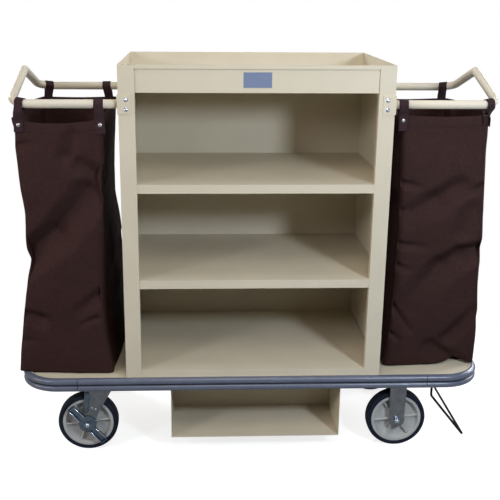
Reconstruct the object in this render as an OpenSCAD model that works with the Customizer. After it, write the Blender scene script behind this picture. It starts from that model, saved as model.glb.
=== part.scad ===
// Housekeeping cart: a steel cabinet on a long deck, with a hung bag at each end.
// Millimetres. The origin is on the floor under the middle of the cart,
// +X is to the right, +Y to the rear and +Z up.

/* [Deck] */
// Length of the deck over its band
deck_l = 1516; // [1440:1:1640]
// Width of the deck over its band
deck_w = 560; // [530:1:640]
// Height of the deck's top face above the floor
deck_z = 284; // [272:1:310]
// Outer radius of the deck's corners
deck_corner_r = 113; // [60:1:140]
// Thickness of the deck sheet
deck_t = 2; // [1:0.5:4]
// Height of the band round the deck
band_h = 45; // [40:1:60]
// Thickness of the band
band_t = 3; // [2:0.5:5]
// How far the band's edge stands above the deck's top face
band_lip = 4; // [0:1:8]

/* [Bumper] */
// Height of each of the two beads
bead_h = 22.5; // [16:0.5:26]
// How far the bumper stands out from the band
bumper_t = 17; // [14:0.5:24]
// Length of the straight front and rear strips
strip_l = 1158; // [900:1:1180]
// Gap at a joint between two bumper pieces
strip_gap = 2; // [0.5:0.1:3]

/* [Cabinet] */
// Width over the side panels
cab_w = 840; // [760:1:900]
// Height of the rim above the deck's top face
cab_h = 1016; // [960:1:1080]
// Gap between the posts and the deck's band
cab_gap = 0.5; // [0.2:0.1:0.9]
// Thickness of the folded sheet
sheet_t = 1.2; // [0.8:0.1:2]
// Width of a post's face
post_w = 50; // [44:1:60]
// Depth of the fold behind a front post's face
post_fold = 25; // [15:1:40]
// Height of the header panel from the rim down
header_h = 83; // [60:1:110]
// Height of the hem along the header's rim
rim_h = 12; // [6:1:20]
// How far the header's face lies behind the posts
header_inset = 4; // [0.5:0.1:6]
// Width of the open seam round the header's face, under its rim and beside the posts
header_seam = 2; // [0.5:0.1:3]
// Depth of the fold under the header
header_fold = 20; // [10:1:22]
// Height of the bottom shelf's top face above the deck
bottom_shelf_h = 26; // [20:1:60]
// Distance from one shelf's top face to the next
shelf_pitch = 312.5; // [280:0.5:320]
// Height of a shelf's front lip
lip_h = 28; // [15:1:40]
// Depth of the fold under a shelf's front lip
lip_fold = 12; // [5:1:18]
// How far a shelf's lip lies behind the posts
lip_inset = 1; // [0.5:0.1:3]
// Gap between a shelf and the walls beside it
shelf_gap = 3; // [1:0.5:6]
// Width of each leg of a shelf rail
rail_w = 20; // [12:1:30]
// Thickness of a shelf rail
rail_t = 1.5; // [1:0.1:3]
// Distance from a shelf rail's end to the posts or the back panel
rail_end = 9; // [7:1:20]
// How far the back panel stops short of the side walls
back_inset = 17; // [8:1:24]
// Width of the blank name plate
name_w = 86; // [40:1:160]
// Height of the blank name plate
name_h = 46; // [20:1:46]
// Thickness of the blank name plate
name_t = 0.8; // [0.5:0.1:1.4]

/* [Handles] */
// Outer diameter of the handle tube
tube_d = 27; // [22:0.5:32]
// Wall of the handle tube
tube_wall = 1.6; // [1:0.1:3]
// Radius of the tube's bends at its centre line
tube_bend_r = 28; // [24:1:40]
// Distance from the posts' faces back to the tube's centre line
tube_inset = 21.5; // [18:0.5:26]
// Distance from the tray floor down to the tube's centre line
tube_drop = 38; // [32:0.5:60]
// Distance from the deck's end back to the handle's outer bar
handle_setback = 12; // [0:1:40]
// How far the outer bar rises at its middle
peak_rise = 80; // [40:1:120]
// Height of a handle bracket
bracket_h = 57; // [48:1:70]
// Width of a handle bracket on the post's face
bracket_w = 37; // [32:1:42]
// Thickness of a handle bracket
bracket_t = 3; // [2:0.5:5]
// Distance between the two screws of a bracket
screw_pitch = 29; // [24:1:34]
// Diameter of the bracket and deck screws
screw_d = 5; // [4:0.5:6]

/* [Bags] */
// Gap between a bag and the cabinet's side
bag_gap = 32; // [20:1:60]
// Distance from the outer bar's centre line in to the bag
bag_setback = 24; // [16:1:40]
// Distance from the tube's centre line down to the bag's hem
bag_drop = 52; // [46:1:70]
// Thickness of the bag's fabric
bag_t = 2; // [1:0.5:3]
// Width of a strap
strap_w = 30; // [20:1:36]
// Thickness of a strap
strap_t = 2; // [1:0.5:3]
// Length of a strap's tail below the bag's hem
strap_tail = 30; // [24:1:50]
// Distance from the bag's hem down to a snap's centre
snap_drop = 10; // [8:1:14]
// Diameter of a snap's cap
snap_d = 13; // [8:0.5:15]

/* [Casters] */
// Overall height of a caster
caster_h = 242; // [236:1:248]
// Distance from the deck's left end to the swivel axes
swivel_setback = 248; // [220:1:280]
// Distance from the deck's right end to the fixed axles
fixed_setback = 260; // [240:1:280]
// Distance from the deck's long edges to the casters' middle
caster_inset = 66; // [60:1:90]
// How far a swivel wheel trails behind its swivel axis
trail = 48; // [36:1:56]
// Diameter of a wheel
wheel_d = 203; // [190:1:210]
// Width of a tyre
tyre_w = 44; // [36:1:48]
// Thickness of a tyre's tread
tread = 15.5; // [10:0.5:18]
// Radius of a tyre's shoulders
shoulder_r = 8; // [4:0.5:9]
// Width of the hub's outer ring
hub_ring = 9; // [6:0.5:14]
// Length of the hub over its boss
hub_l = 52; // [48:1:56]
// Diameter of the hub's boss
boss_d = 40; // [30:1:50]
// Thickness of the hub's web
web_t = 8; // [4:0.5:14]
// Height of the hub's ribs over both sides
rib_h = 32; // [16:1:40]
// Thickness of a hub rib
rib_t = 4; // [2:0.5:6]
// Number of ribs
ribs = 6; // [4:1:10]
// Angle of the first rib
rib_start = 7; // [0:1:30]
// Outer diameter of the axle bush
bush_d = 20; // [16:0.5:24]
// Diameter of the axle bolt
axle_d = 12; // [8:0.5:14]
// Thickness of the fork legs
fork_t = 4; // [3:0.5:5]
// Gap between the hub's boss and each fork leg
fork_play = 1; // [0.4:0.1:2]
// Width of a fixed fork's legs
fixed_leg_w = 55; // [44:1:64]
// Length of a caster's top plate along the cart
plate_l = 112; // [106:1:126]
// Width of a caster's top plate
plate_w = 98; // [94:1:110]
// Thickness of a caster's top plate
plate_t = 5; // [3:0.5:6]
// Bolt spacing along the cart
bolt_span_l = 90; // [86:1:96]
// Bolt spacing across the cart
bolt_span_w = 75; // [72:1:80]
// Diameter of the caster bolts
bolt_d = 8; // [6:0.5:9]
// Diameter of a kingpin
kingpin_d = 16; // [12:0.5:20]
// Diameter of a swivel bearing race
race_d = 66; // [56:1:68]
// Height of a swivel bearing race
race_h = 10; // [8:0.5:12]
// Thickness of the fork's crown
crown_t = 5; // [4:0.5:6]
// Width of a caster channel
channel_w = 132; // [126:1:150]
// Thickness of a caster channel
channel_t = 3; // [2:0.5:4]
// Distance from a brake lever's centre to each end
lever_reach = 82; // [70:1:88]
// Width of a brake lever's arms
lever_w = 26; // [18:1:34]
// Thickness of a brake lever
lever_t = 3; // [2:0.5:4]
// Depth of a brake lever's folded edges
lever_fold = 9; // [5:1:12]
// Angle of a brake lever below level
lever_tilt = 48; // [30:1:60]

/* [Under the deck] */
// Width of the open box
box_w = 570; // [480:1:590]
// Depth of the open box
box_d = 227; // [180:1:300]
// Height of the box's floor above the ground
box_ground = 57; // [45:1:120]
// Distance from the deck's front edge to the box
box_setback = 15; // [8:1:40]
// How far the box lies to the right of the middle
box_shift = 10; // [-20:1:20]
// Thickness of the box's sheet
box_t = 1.5; // [1:0.1:2.5]
// Width of the box's top flanges
flange_w = 18; // [15:1:24]
// Diameter of the vacuum rack's rod
rod_d = 8; // [6:0.5:10]
// Radius of the rod's bends
rod_bend_r = 16; // [12:1:24]
// Distance from the deck's long edges to the rack's legs
rack_inset = 55; // [40:1:90]
// Distance from the deck's right end to the rack's legs
rack_setback = 141; // [130:1:150]
// Length of the rack's clamped ends
rack_end = 46; // [40:1:48]
// Height above the floor where the legs bend outward
rack_bend_z = 183; // [160:1:200]
// Height of the rack's low bar above the floor
rack_low_z = 30; // [16:1:50]
// How far the low bar lies outside the legs
rack_out = 123; // [80:1:130]

/* [Hidden] */
$fn = 64;

// Running fit between a shaft and its bore, and gap between parts that only come near
fit = 0.05;
clear = 0.3;

// How far a cut runs past the faces it goes through, and how far joined shapes run into one another
cut = 1;
bite = 1;

// Deck levels
deck_under = deck_z - deck_t;
band_top = deck_z + band_lip;
band_low = band_top - band_h;
bumper_low = (band_top + band_low) / 2 - bead_h;
bumper_top = bumper_low + 2 * bead_h;

// Cabinet places
side_x = cab_w / 2;
wall_x = side_x - sheet_t;
post_y = deck_w / 2 - band_t - cab_gap;
post_x = side_x - post_w;
fold_y = post_y - post_fold;
back_y = post_y - 2 * sheet_t;
rim_z = deck_z + cab_h;
header_z = rim_z - header_h;
header_y = post_y - header_inset;
liner_y = header_y - sheet_t;
tray_z = header_z + 2 * sheet_t;
lip_y = post_y - lip_inset;
shelf_back_y = back_y - shelf_gap / 2;
shelf_x = wall_x - shelf_gap;
tongue_x = post_x - clear;
bottom_shelf_z = deck_z + bottom_shelf_h;
middle_shelf_z = bottom_shelf_z + shelf_pitch;
upper_shelf_z = middle_shelf_z + shelf_pitch;
back_x = wall_x - back_inset;

// Handle and bag places
tube_r = tube_d / 2;
tube_y = post_y - tube_inset;
tube_z = tray_z - tube_drop;
handle_x = deck_l / 2 - handle_setback;
bracket_x = side_x + bracket_t;
bracket_y = post_y + bracket_t;
bracket_past_tube = 5;
bracket_back_y = tube_y - tube_r - bracket_past_tube;
screw_off_middle = 5;
screw_x = side_x - bracket_w / 2 - screw_off_middle;
screw_grip = bracket_t + 2 * sheet_t;
bag_in_x = side_x + bag_gap;
bag_out_x = handle_x - bag_setback;
bag_top = tube_z - bag_drop;
bag_low = max(band_top, bumper_top) + clear;
bag_y = tube_y + bag_t / 2;
strap_in_x = bag_in_x + bag_t + clear + strap_w / 2;
strap_out_x = min(handle_x - tube_bend_r, bag_out_x - bag_t) - clear - strap_w / 2;
snap_z = bag_top - snap_drop;
snap_pin_d = 4;
strap_half = bag_t / 2 + clear;

// Caster places
wheel_r = wheel_d / 2;
swivel_x = -(deck_l / 2 - swivel_setback);
fixed_x = deck_l / 2 - fixed_setback;
caster_y = deck_w / 2 - caster_inset;
fork_in = hub_l / 2 + fork_play;
fork_out = fork_in + fork_t;
axle_r = axle_d / 2;
hub_r = wheel_r - tread;
ring_in_r = hub_r - hub_ring;
plate_low = caster_h - plate_t;
crown_z = plate_low - race_h;
crown_low = crown_z - crown_t;
channel_h = deck_under - caster_h;
web_top = caster_h + channel_t;
channel_end_gap = 6;
channel_y = deck_w / 2 - band_t - channel_end_gap;
bolt_head_h = 5;
nut_h = 6;
cap_nut_w = 17;
axle_head_h = 7;
swivel_casters = [[swivel_x, -1], [swivel_x, 1]];
fixed_casters = [[fixed_x, -1], [fixed_x, 1]];
casters = concat(swivel_casters, fixed_casters);

// Fork leg outline of a swivel caster, from its swivel axis
leg_end_wall = 18;
leg_end_r = axle_r + leg_end_wall;
leg_past_axle = 5;
leg_back = trail + leg_past_axle;
leg_past_race = 1;
leg_front = race_d / 2 + leg_past_race;
neck_from_axle = [38, 43];
leg_neck = neck_from_axle.x - trail;
leg_neck_z = wheel_r + neck_from_axle.y;
leg_taper = 2;

// Box and rack places
box_x0 = box_shift - box_w / 2;
box_x1 = box_shift + box_w / 2;
box_front = -(deck_w / 2 - box_setback);
box_back = box_front + box_d;
rod_r = rod_d / 2;
rack_x = deck_l / 2 - rack_setback;
rack_y = deck_w / 2 - rack_inset;
rack_top = deck_under - rod_r - clear;
clamp_l = 24;
clamp_t = 3;
clamp_from_end = 4;
clamp_x = rack_x - rack_end + clamp_from_end;
clamp_wing = 14;
flange_screw_x = [box_x0 - flange_w / 2, box_x1 + flange_w / 2];
flange_screw_end = 25;
flange_screw_y = [box_front + flange_screw_end, (box_front + box_back) / 2, box_back - flange_screw_end];
box_screws = [for (x = flange_screw_x, y = flange_screw_y) [x, y, deck_under - box_t]];
clamp_screw_y = rod_r + clamp_t + clamp_wing / 2;
clamp_screws = [for (s = [-1, 1], k = [-1, 1])
    [clamp_x + clamp_l / 2, s * rack_y + k * clamp_screw_y, deck_under - clamp_t]];
deck_screw_heads = concat(box_screws, clamp_screws);

// A block between two opposite corners
module block(a, b) {
    translate(a) cube(b - a);
}

// The same thing on both sides of the middle, front and rear
module front_and_rear() {
    children();
    mirror([0, 1, 0]) children();
}

module left_and_right() {
    children();
    mirror([1, 0, 0]) children();
}

// A flat rectangle with round corners
module round_rect(l, w, r) {
    square([l - 2 * r, w], center = true);
    square([l, w - 2 * r], center = true);
    for (x = [-1, 1], y = [-1, 1])
        translate([x * (l / 2 - r), y * (w / 2 - r)]) circle(r);
}

// A round tube drawn step by step: each step is [roll, run, turn], which rolls about the tube,
// runs straight and then bends. Travel is along z, and a bend turns from there towards x.
module bent_rod(steps, bend_r, r, i = 0) {
    run = steps[i][1];
    turn = steps[i][2];
    rotate([0, 0, steps[i][0]]) {
        cylinder(h = run, r = r);
        translate([bend_r, 0, run]) {
            rotate(a = 180, v = [0, 1, 1])
                rotate_extrude(angle = turn) translate([bend_r, 0]) circle(r);
            if (i + 1 < len(steps))
                rotate([0, turn, 0]) translate([-bend_r, 0, 0])
                    bent_rod(steps, bend_r, r, i + 1);
        }
    }
}

function unit(v) = v / norm(v);

// Points round corner b of a bent wire, on the way from a to c
function wire_bend(a, b, c, bend_r, steps = 6) =
    let (
        u = unit(a - b),
        v = unit(c - b),
        half = acos(u * v) / 2,
        centre = b + unit(u + v) * bend_r / sin(half),
        x = unit(b + u * bend_r / tan(half) - centre),
        turn = 180 - 2 * half)
    [for (i = [0 : steps]) centre + bend_r * (x * cos(turn * i / steps) - u * sin(turn * i / steps))];

function wire_path(p, bend_r) = [
    p[0],
    for (i = [1 : len(p) - 2]) each wire_bend(p[i - 1], p[i], p[i + 1], bend_r),
    p[len(p) - 1]];

// One side vector for each tangent of a path, carried along without twist
function carried(tangents, side, i = 0) =
    i == len(tangents) ? [] :
    let (s = unit(side - (side * tangents[i]) * tangents[i]))
    concat([s], carried(tangents, s, i + 1));

// A solid wire swept along its corner points
module bent_wire(p, bend_r, r, sides = 16) {
    path = wire_path(p, bend_r);
    last = len(path) - 1;
    tangents = [for (i = [0 : last]) unit(path[min(i + 1, last)] - path[max(i - 1, 0)])];
    normals = carried(tangents, [0, 1, 0]);
    points = [for (i = [0 : last], k = [0 : sides - 1])
        let (a = 360 * k / sides)
        path[i] + r * (cos(a) * normals[i] + sin(a) * cross(tangents[i], normals[i]))];
    skin = [for (i = [0 : last - 1], k = [0 : sides - 1])
        let (m = (k + 1) % sides, j = i * sides)
        each [[j + k, j + sides + k, j + m], [j + m, j + sides + k, j + sides + m]]];
    caps = [[for (k = [0 : sides - 1]) k], [for (k = [sides - 1 : -1 : 0]) last * sides + k]];
    polyhedron(points, concat(skin, caps));
}

// Chassis

module deck_pan() {
    inner_r = deck_corner_r - band_t;
    color("tan") difference() {
        union() {
            translate([0, 0, deck_under])
                linear_extrude(deck_t) round_rect(deck_l, deck_w, deck_corner_r);
            translate([0, 0, band_low]) linear_extrude(band_h) difference() {
                round_rect(deck_l, deck_w, deck_corner_r);
                round_rect(deck_l - 2 * band_t, deck_w - 2 * band_t, inner_r);
            }
        }
        for (p = deck_screw_heads)
            translate([p.x, p.y, deck_under - cut])
                cylinder(h = deck_t + 2 * cut, d = screw_d + 2 * fit);
    }
}

// Places of the four bolts of a caster, from its plate's middle
module at_bolts() {
    for (x = [-1, 1], y = [-1, 1])
        translate([x * bolt_span_l / 2, y * bolt_span_w / 2, 0]) children();
}

module bolt_holes(z, h) {
    at_bolts() translate([0, 0, z]) cylinder(h = h, d = bolt_d + 2 * clear);
}

module caster_channel(x) {
    color("tan") difference() {
        union() {
            block([x - channel_w / 2, -channel_y, caster_h], [x + channel_w / 2, channel_y, web_top]);
            for (s = [-1, 1])
                block([x + s * (channel_w - channel_t) / 2 - channel_t / 2, -channel_y, caster_h],
                      [x + s * (channel_w - channel_t) / 2 + channel_t / 2, channel_y, deck_under]);
        }
        for (s = [-1, 1])
            translate([x, s * caster_y, 0]) bolt_holes(caster_h - cut, channel_t + 2 * cut);
    }
}

module left_caster_channel() { caster_channel(swivel_x); }
module right_caster_channel() { caster_channel(fixed_x); }

// Section of the double-bead bumper: its flat back lies on x = 0
module bumper_section() {
    bead_r = bead_h / 2;
    back_t = bumper_t - bead_r;
    translate([0, bumper_low]) square([back_t, 2 * bead_h]);
    for (i = [0, 1])
        translate([back_t, bumper_low + bead_r + i * bead_h])
            intersection() {
                circle(bead_r);
                translate([-bead_r / 2, -bead_r]) square([2 * bead_r, 2 * bead_r]);
            }
}

// A straight run of bumper on the front edge, between two places along the cart
module bumper_run(x0, x1) {
    translate([x0, -deck_w / 2, 0]) rotate([90, 0, 90])
        linear_extrude(x1 - x0) mirror([1, 0]) bumper_section();
}

module bumper_strip() {
    color("slategray") bumper_run(-strip_l / 2, strip_l / 2);
}

module bumper_front() { bumper_strip(); }
module bumper_rear() { mirror([0, 1, 0]) bumper_strip(); }

// The right-hand end piece: two corners, their short runs and the straight end
module bumper_end() {
    corner_x = deck_l / 2 - deck_corner_r;
    corner_y = deck_w / 2 - deck_corner_r;
    color("slategray") {
        front_and_rear() {
            bumper_run(strip_l / 2 + strip_gap, corner_x);
            translate([corner_x, -corner_y, 0]) rotate([0, 0, -90])
                rotate_extrude(angle = 90) translate([deck_corner_r, 0]) bumper_section();
        }
        translate([deck_l / 2, corner_y, 0]) rotate([90, 0, 0])
            linear_extrude(2 * corner_y) bumper_section();
    }
}

module bumper_right_end() { bumper_end(); }
module bumper_left_end() { mirror([1, 0, 0]) bumper_end(); }

// Cabinet

module bracket_screw_holes() {
    for (k = [-1, 1])
        translate([screw_x, 0, tube_z + k * screw_pitch / 2]) rotate([90, 0, 0])
            cylinder(h = deck_w, d = screw_d + 2 * clear, center = true);
}

module side_panel() {
    color("wheat") difference() {
        union() {
            block([wall_x, -post_y, deck_z], [side_x, post_y, rim_z]);
            block([post_x, -post_y, deck_z], [side_x, -post_y + sheet_t, rim_z]);
            block([post_x, -post_y, deck_z], [post_x + sheet_t, -fold_y, rim_z]);
            block([post_x, post_y - sheet_t, deck_z], [side_x, post_y, rim_z]);
        }
        bracket_screw_holes();
    }
}

module right_side_panel() { side_panel(); }
module left_side_panel() { mirror([1, 0, 0]) side_panel(); }

module back_panel() {
    color("wheat") difference() {
        block([-back_x, back_y, deck_z], [back_x, post_y - sheet_t, rim_z]);
        left_and_right() bracket_screw_holes();
    }
}

// A face sheet on a wider liner, with a rim level with the posts and a fold under it
module header_panel() {
    face_x = tongue_x - header_seam;
    face_top = rim_z - rim_h - header_seam;
    color("wheat") {
        block([-face_x, -header_y, header_z], [face_x, -liner_y, face_top]);
        block([-tongue_x, -liner_y - bite / 2, header_z], [tongue_x, -liner_y + sheet_t, rim_z]);
        block([-tongue_x, -post_y, rim_z - rim_h], [tongue_x, -liner_y + sheet_t, rim_z]);
        block([-face_x, -header_y, header_z], [face_x, -header_y + header_fold, header_z + sheet_t]);
    }
}

// A flat sheet that fills the cabinet, with a tongue between the front posts
module cabinet_sheet(z_top, front_y) {
    block([-shelf_x, -fold_y + shelf_gap, z_top - sheet_t], [shelf_x, shelf_back_y, z_top]);
    block([-tongue_x, -front_y, z_top - sheet_t], [tongue_x, -fold_y + 2 * shelf_gap, z_top]);
}

module tray_floor() {
    color("wheat") cabinet_sheet(tray_z, liner_y - sheet_t);
}

// A shelf's lip at the front and its fold at the back, down to a given depth
module shelf_edges(z_top, h) {
    block([-tongue_x, -lip_y, z_top - h], [tongue_x, -lip_y + sheet_t, z_top]);
    block([-tongue_x, -lip_y, z_top - h], [tongue_x, -lip_y + lip_fold, z_top - h + sheet_t]);
    block([-shelf_x, shelf_back_y - sheet_t, z_top - h], [shelf_x, shelf_back_y, z_top]);
}

module shelf(z_top) {
    color("tan") {
        cabinet_sheet(z_top, lip_y);
        shelf_edges(z_top, lip_h);
    }
}

module upper_shelf() { shelf(upper_shelf_z); }
module middle_shelf() { shelf(middle_shelf_z); }

module bottom_shelf() {
    color("tan") {
        cabinet_sheet(bottom_shelf_z, lip_y);
        shelf_edges(bottom_shelf_z, bottom_shelf_h);
        left_and_right()
            block([shelf_x - sheet_t, -fold_y + shelf_gap, deck_z], [shelf_x, shelf_back_y, bottom_shelf_z]);
    }
}

module shelf_rails() {
    rail_y0 = -fold_y + rail_end;
    rail_y1 = shelf_back_y - rail_end;
    color("tan") left_and_right()
        for (z = [middle_shelf_z, upper_shelf_z, tray_z] - [1, 1, 1] * sheet_t) {
            block([wall_x - rail_t, rail_y0, z - rail_w], [wall_x, rail_y1, z]);
            block([wall_x - rail_w, rail_y0, z - rail_t], [wall_x, rail_y1, z]);
        }
}

module name_plate() {
    above_middle = 3;
    middle_z = (header_z + rim_z - rim_h) / 2 + above_middle;
    color("lightsteelblue")
        block([-name_w / 2, -header_y - name_t, middle_z - name_h / 2],
              [name_w / 2, -header_y, middle_z + name_h / 2]);
}

// Handles

// The front half of a handle, from its bracket to the middle of the peak,
// with its bracket end drawn longer by extra
module handle_half(r, extra) {
    rise = atan(peak_rise / tube_y);
    side_run = handle_x - bracket_x - tube_bend_r + extra;
    bar_run = norm([tube_y, peak_rise]) - tube_bend_r - tube_bend_r * tan(rise);
    translate([bracket_x - extra, -tube_y, tube_z]) rotate([0, 90, 0])
        bent_rod([[90 + rise, side_run, 90], [-90, bar_run, 2 * rise]], tube_bend_r, r);
}

module handle() {
    color("antiquewhite") front_and_rear() intersection() {
        difference() {
            handle_half(tube_r, 0);
            handle_half(tube_r - tube_wall, tube_wall);
        }
        block([0, -deck_w, 0], [deck_l, 0, 2 * rim_z]);
    }
}

module right_handle() { handle(); }
module left_handle() { mirror([1, 0, 0]) handle(); }

module handle_brackets() {
    z0 = tube_z - bracket_h / 2;
    z1 = tube_z + bracket_h / 2;
    color("wheat") left_and_right() front_and_rear() difference() {
        union() {
            block([side_x - bracket_w, -bracket_y, z0], [bracket_x, -post_y, z1]);
            block([side_x, -bracket_y, z0], [bracket_x, -bracket_back_y, z1]);
        }
        bracket_screw_holes();
    }
}

// Places of the eight bracket screws, with the screw's head towards the outside
module at_bracket_screws() {
    left_and_right() front_and_rear()
        for (k = [-1, 1])
            translate([screw_x, -bracket_y, tube_z + k * screw_pitch / 2]) rotate([90, 0, 0])
                children();
}

module handle_screws() {
    head_r = screw_d * 1.35;
    dome_r = head_r * 1.25;
    dome_sink = sqrt(dome_r * dome_r - head_r * head_r);
    color("silver") at_bracket_screws() {
        intersection() {
            translate([0, 0, -dome_sink]) sphere(dome_r);
            cylinder(h = dome_r, r = head_r + bite);
        }
        translate([0, 0, -screw_grip - nut_h]) cylinder(h = screw_grip + nut_h + bite, d = screw_d);
    }
}

module handle_nuts() {
    color("silver")
        for (s = [-1, 1])
            left_and_right() for (k = [-1, 1])
                translate([screw_x, s * (s < 0 ? post_y - sheet_t : back_y), tube_z + k * screw_pitch / 2])
                    rotate([s * 90, 0, 0])
                        hex_nut(screw_d * 1.8, screw_d, nut_h - bite);
}

// A hexagon nut that stands on z = 0
module hex_nut(w, d, h) {
    difference() {
        cylinder(h = h, d = w / cos(30), $fn = 6);
        translate([0, 0, -cut]) cylinder(h = h + 2 * cut, d = d + 2 * fit);
    }
}

// Bags

module bag() {
    color("saddlebrown") difference() {
        block([bag_in_x, -bag_y, bag_low], [bag_out_x, bag_y, bag_top]);
        block([bag_in_x + bag_t, -bag_y + bag_t, bag_low + bag_t],
              [bag_out_x - bag_t, bag_y - bag_t, bag_top + cut]);
        snap_holes();
    }
}

module right_bag() { bag(); }
module left_bag() { mirror([1, 0, 0]) bag(); }

module snap_holes() {
    for (x = [strap_in_x, strap_out_x])
        translate([x, 0, snap_z]) rotate([90, 0, 0])
            cylinder(h = deck_w, d = snap_pin_d + 2 * fit, center = true);
}

// Angle on a round of radius r where a straight leg from (half, -drop) runs up to it
function leg_angle(r, half, drop) =
    acos(r / norm([half, drop])) - atan2(drop, half);

// Side view of a strap: over the tube, down both sides, the tail on the left
module strap_section() {
    in_r = tube_r + clear;
    out_r = in_r + strap_t;
    out_half = strap_half + strap_t;
    in_a = leg_angle(in_r, strap_half, bag_drop);
    out_a = leg_angle(out_r, out_half, bag_drop);
    steps = 16;
    round = [for (i = [0 : steps]) i / steps];
    over = [for (t = round) let (a = out_a + (180 - 2 * out_a) * t) out_r * [cos(a), sin(a)]];
    under = [for (t = round) let (a = 180 - in_a - (180 - 2 * in_a) * t) in_r * [cos(a), sin(a)]];
    tail = -bag_drop - strap_tail;
    inner_tail = -bag_drop - snap_drop - snap_d / 2;
    polygon(concat(
        [[out_half, inner_tail], [out_half, -bag_drop]], over,
        [[-out_half, -bag_drop], [-out_half, tail], [-strap_half, tail], [-strap_half, -bag_drop]], under,
        [[strap_half, -bag_drop], [strap_half, inner_tail]]));
}

module bag_straps() {
    color("dimgray") front_and_rear() difference() {
        for (x = [strap_in_x, strap_out_x])
            translate([x - strap_w / 2, -tube_y, tube_z]) rotate([90, 0, 90])
                linear_extrude(strap_w) strap_section();
        snap_holes();
    }
}

module right_bag_straps() { bag_straps(); }
module left_bag_straps() { mirror([1, 0, 0]) bag_straps(); }

module bag_snaps() {
    strap_face = strap_half + strap_t;
    cap_r = snap_d / 2;
    dome_r = cap_r * 1.4;
    dome_sink = sqrt(dome_r * dome_r - cap_r * cap_r);
    washer_t = 1.5;
    color("silver") left_and_right() front_and_rear()
        for (x = [strap_in_x, strap_out_x])
            translate([x, -tube_y, snap_z]) rotate([90, 0, 0]) {
                translate([0, 0, strap_face]) intersection() {
                    translate([0, 0, -dome_sink]) sphere(dome_r);
                    cylinder(h = dome_r, r = cap_r + bite);
                }
                translate([0, 0, -strap_face]) cylinder(h = 2 * strap_face + bite, d = snap_pin_d);
                translate([0, 0, -strap_face - washer_t]) cylinder(h = washer_t, r = cap_r - bite);
            }
}

// Under the deck

module under_box() {
    x0 = box_x0;
    x1 = box_x1;
    floor_z = box_ground + box_t;
    color("wheat") difference() {
        union() {
            block([x0, box_front, box_ground], [x1, box_back, floor_z]);
            block([x0, box_back - box_t, box_ground], [x1, box_back, deck_under]);
            block([x0, box_front, box_ground], [x0 + box_t, box_back, deck_under]);
            block([x1 - box_t, box_front, box_ground], [x1, box_back, deck_under]);
            block([x0 - flange_w, box_front, deck_under - box_t], [x0 + box_t, box_back, deck_under]);
            block([x1 - box_t, box_front, deck_under - box_t], [x1 + flange_w, box_back, deck_under]);
        }
        for (p = box_screws)
            translate(p - [0, 0, cut]) cylinder(h = box_t + 2 * cut, d = screw_d + 2 * fit);
    }
}

module vacuum_rack() {
    leg = [
        [rack_x - rack_end, -rack_y, rack_top],
        [rack_x, -rack_y, rack_top],
        [rack_x, -rack_y, rack_bend_z],
        [rack_x + rack_out, -rack_y, rack_low_z]];
    other = [for (i = [3 : -1 : 0]) [leg[i].x, -leg[i].y, leg[i].z]];
    color("dimgray") bent_wire(concat(leg, other), rod_bend_r, rod_r);
}

// Saddles that hold the rack's ends up against the deck
module rack_clamps() {
    half = rod_r + clamp_t;
    low = rack_top - half;
    color("silver") for (s = [-1, 1]) translate([clamp_x, s * rack_y, 0]) difference() {
        union() {
            block([0, -half, low], [clamp_l, half, deck_under]);
            block([0, -half - clamp_wing, deck_under - clamp_t], [clamp_l, half + clamp_wing, deck_under]);
        }
        translate([-cut, 0, rack_top]) rotate([0, 90, 0]) cylinder(h = clamp_l + 2 * cut, r = rod_r + fit);
        block([-cut, -rod_r - fit, rack_top], [clamp_l + cut, rod_r + fit, deck_under + cut]);
        for (k = [-1, 1])
            translate([clamp_l / 2, k * clamp_screw_y, deck_under - clamp_t - cut])
                cylinder(h = clamp_t + 2 * cut, d = screw_d + 2 * fit);
    }
}

// Pan-head screws that hold the box and the clamps to the deck
module deck_screws() {
    head_h = 3;
    color("silver") for (p = deck_screw_heads) translate(p) {
        translate([0, 0, -head_h]) cylinder(h = head_h, d = screw_d * 1.9);
        translate([0, 0, -bite]) cylinder(h = deck_z - p.z + bite, d = screw_d);
    }
}

// Casters

// A caster part drawn for the front, placed on the casters of a list
module on_casters(list) {
    for (c = list)
        translate([c.x, c.y * caster_y, 0])
            mirror([0, c.y > 0 ? 1 : 0, 0]) children();
}

module swivel_plates() {
    color("silver") on_casters(swivel_casters) difference() {
        block([-plate_l / 2, -plate_w / 2, plate_low], [plate_l / 2, plate_w / 2, caster_h]);
        bolt_holes(plate_low - cut, plate_t + 2 * cut);
        translate([0, 0, plate_low - cut]) cylinder(h = plate_t + 2 * cut, d = kingpin_d + 2 * fit);
        translate([0, 0, caster_h - plate_t / 2]) cylinder(h = plate_t, d = kingpin_d * 1.5 + 2 * fit);
    }
}

module kingpins() {
    head_h = 7;
    top_h = plate_t / 2;
    low = crown_low - clear;
    color("silver") on_casters(swivel_casters) {
        translate([0, 0, low - head_h]) cylinder(h = head_h, d = kingpin_d * 1.6);
        translate([0, 0, low - bite]) cylinder(h = caster_h - low + bite, d = kingpin_d);
        translate([0, 0, caster_h - top_h]) cylinder(h = top_h, d = kingpin_d * 1.5);
    }
}

// Axle hole across a fork, at a distance along the cart from the caster's middle
module axle_hole(x) {
    translate([x, 0, wheel_r]) rotate([90, 0, 0])
        cylinder(h = 4 * fork_out, d = axle_d + 2 * fit, center = true);
}

// Two legs of the same outline, one on each side of the wheel
module fork_legs() {
    for (y = [-fork_in, fork_out])
        translate([0, y, 0]) rotate([90, 0, 0]) linear_extrude(fork_t) children();
}

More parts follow.
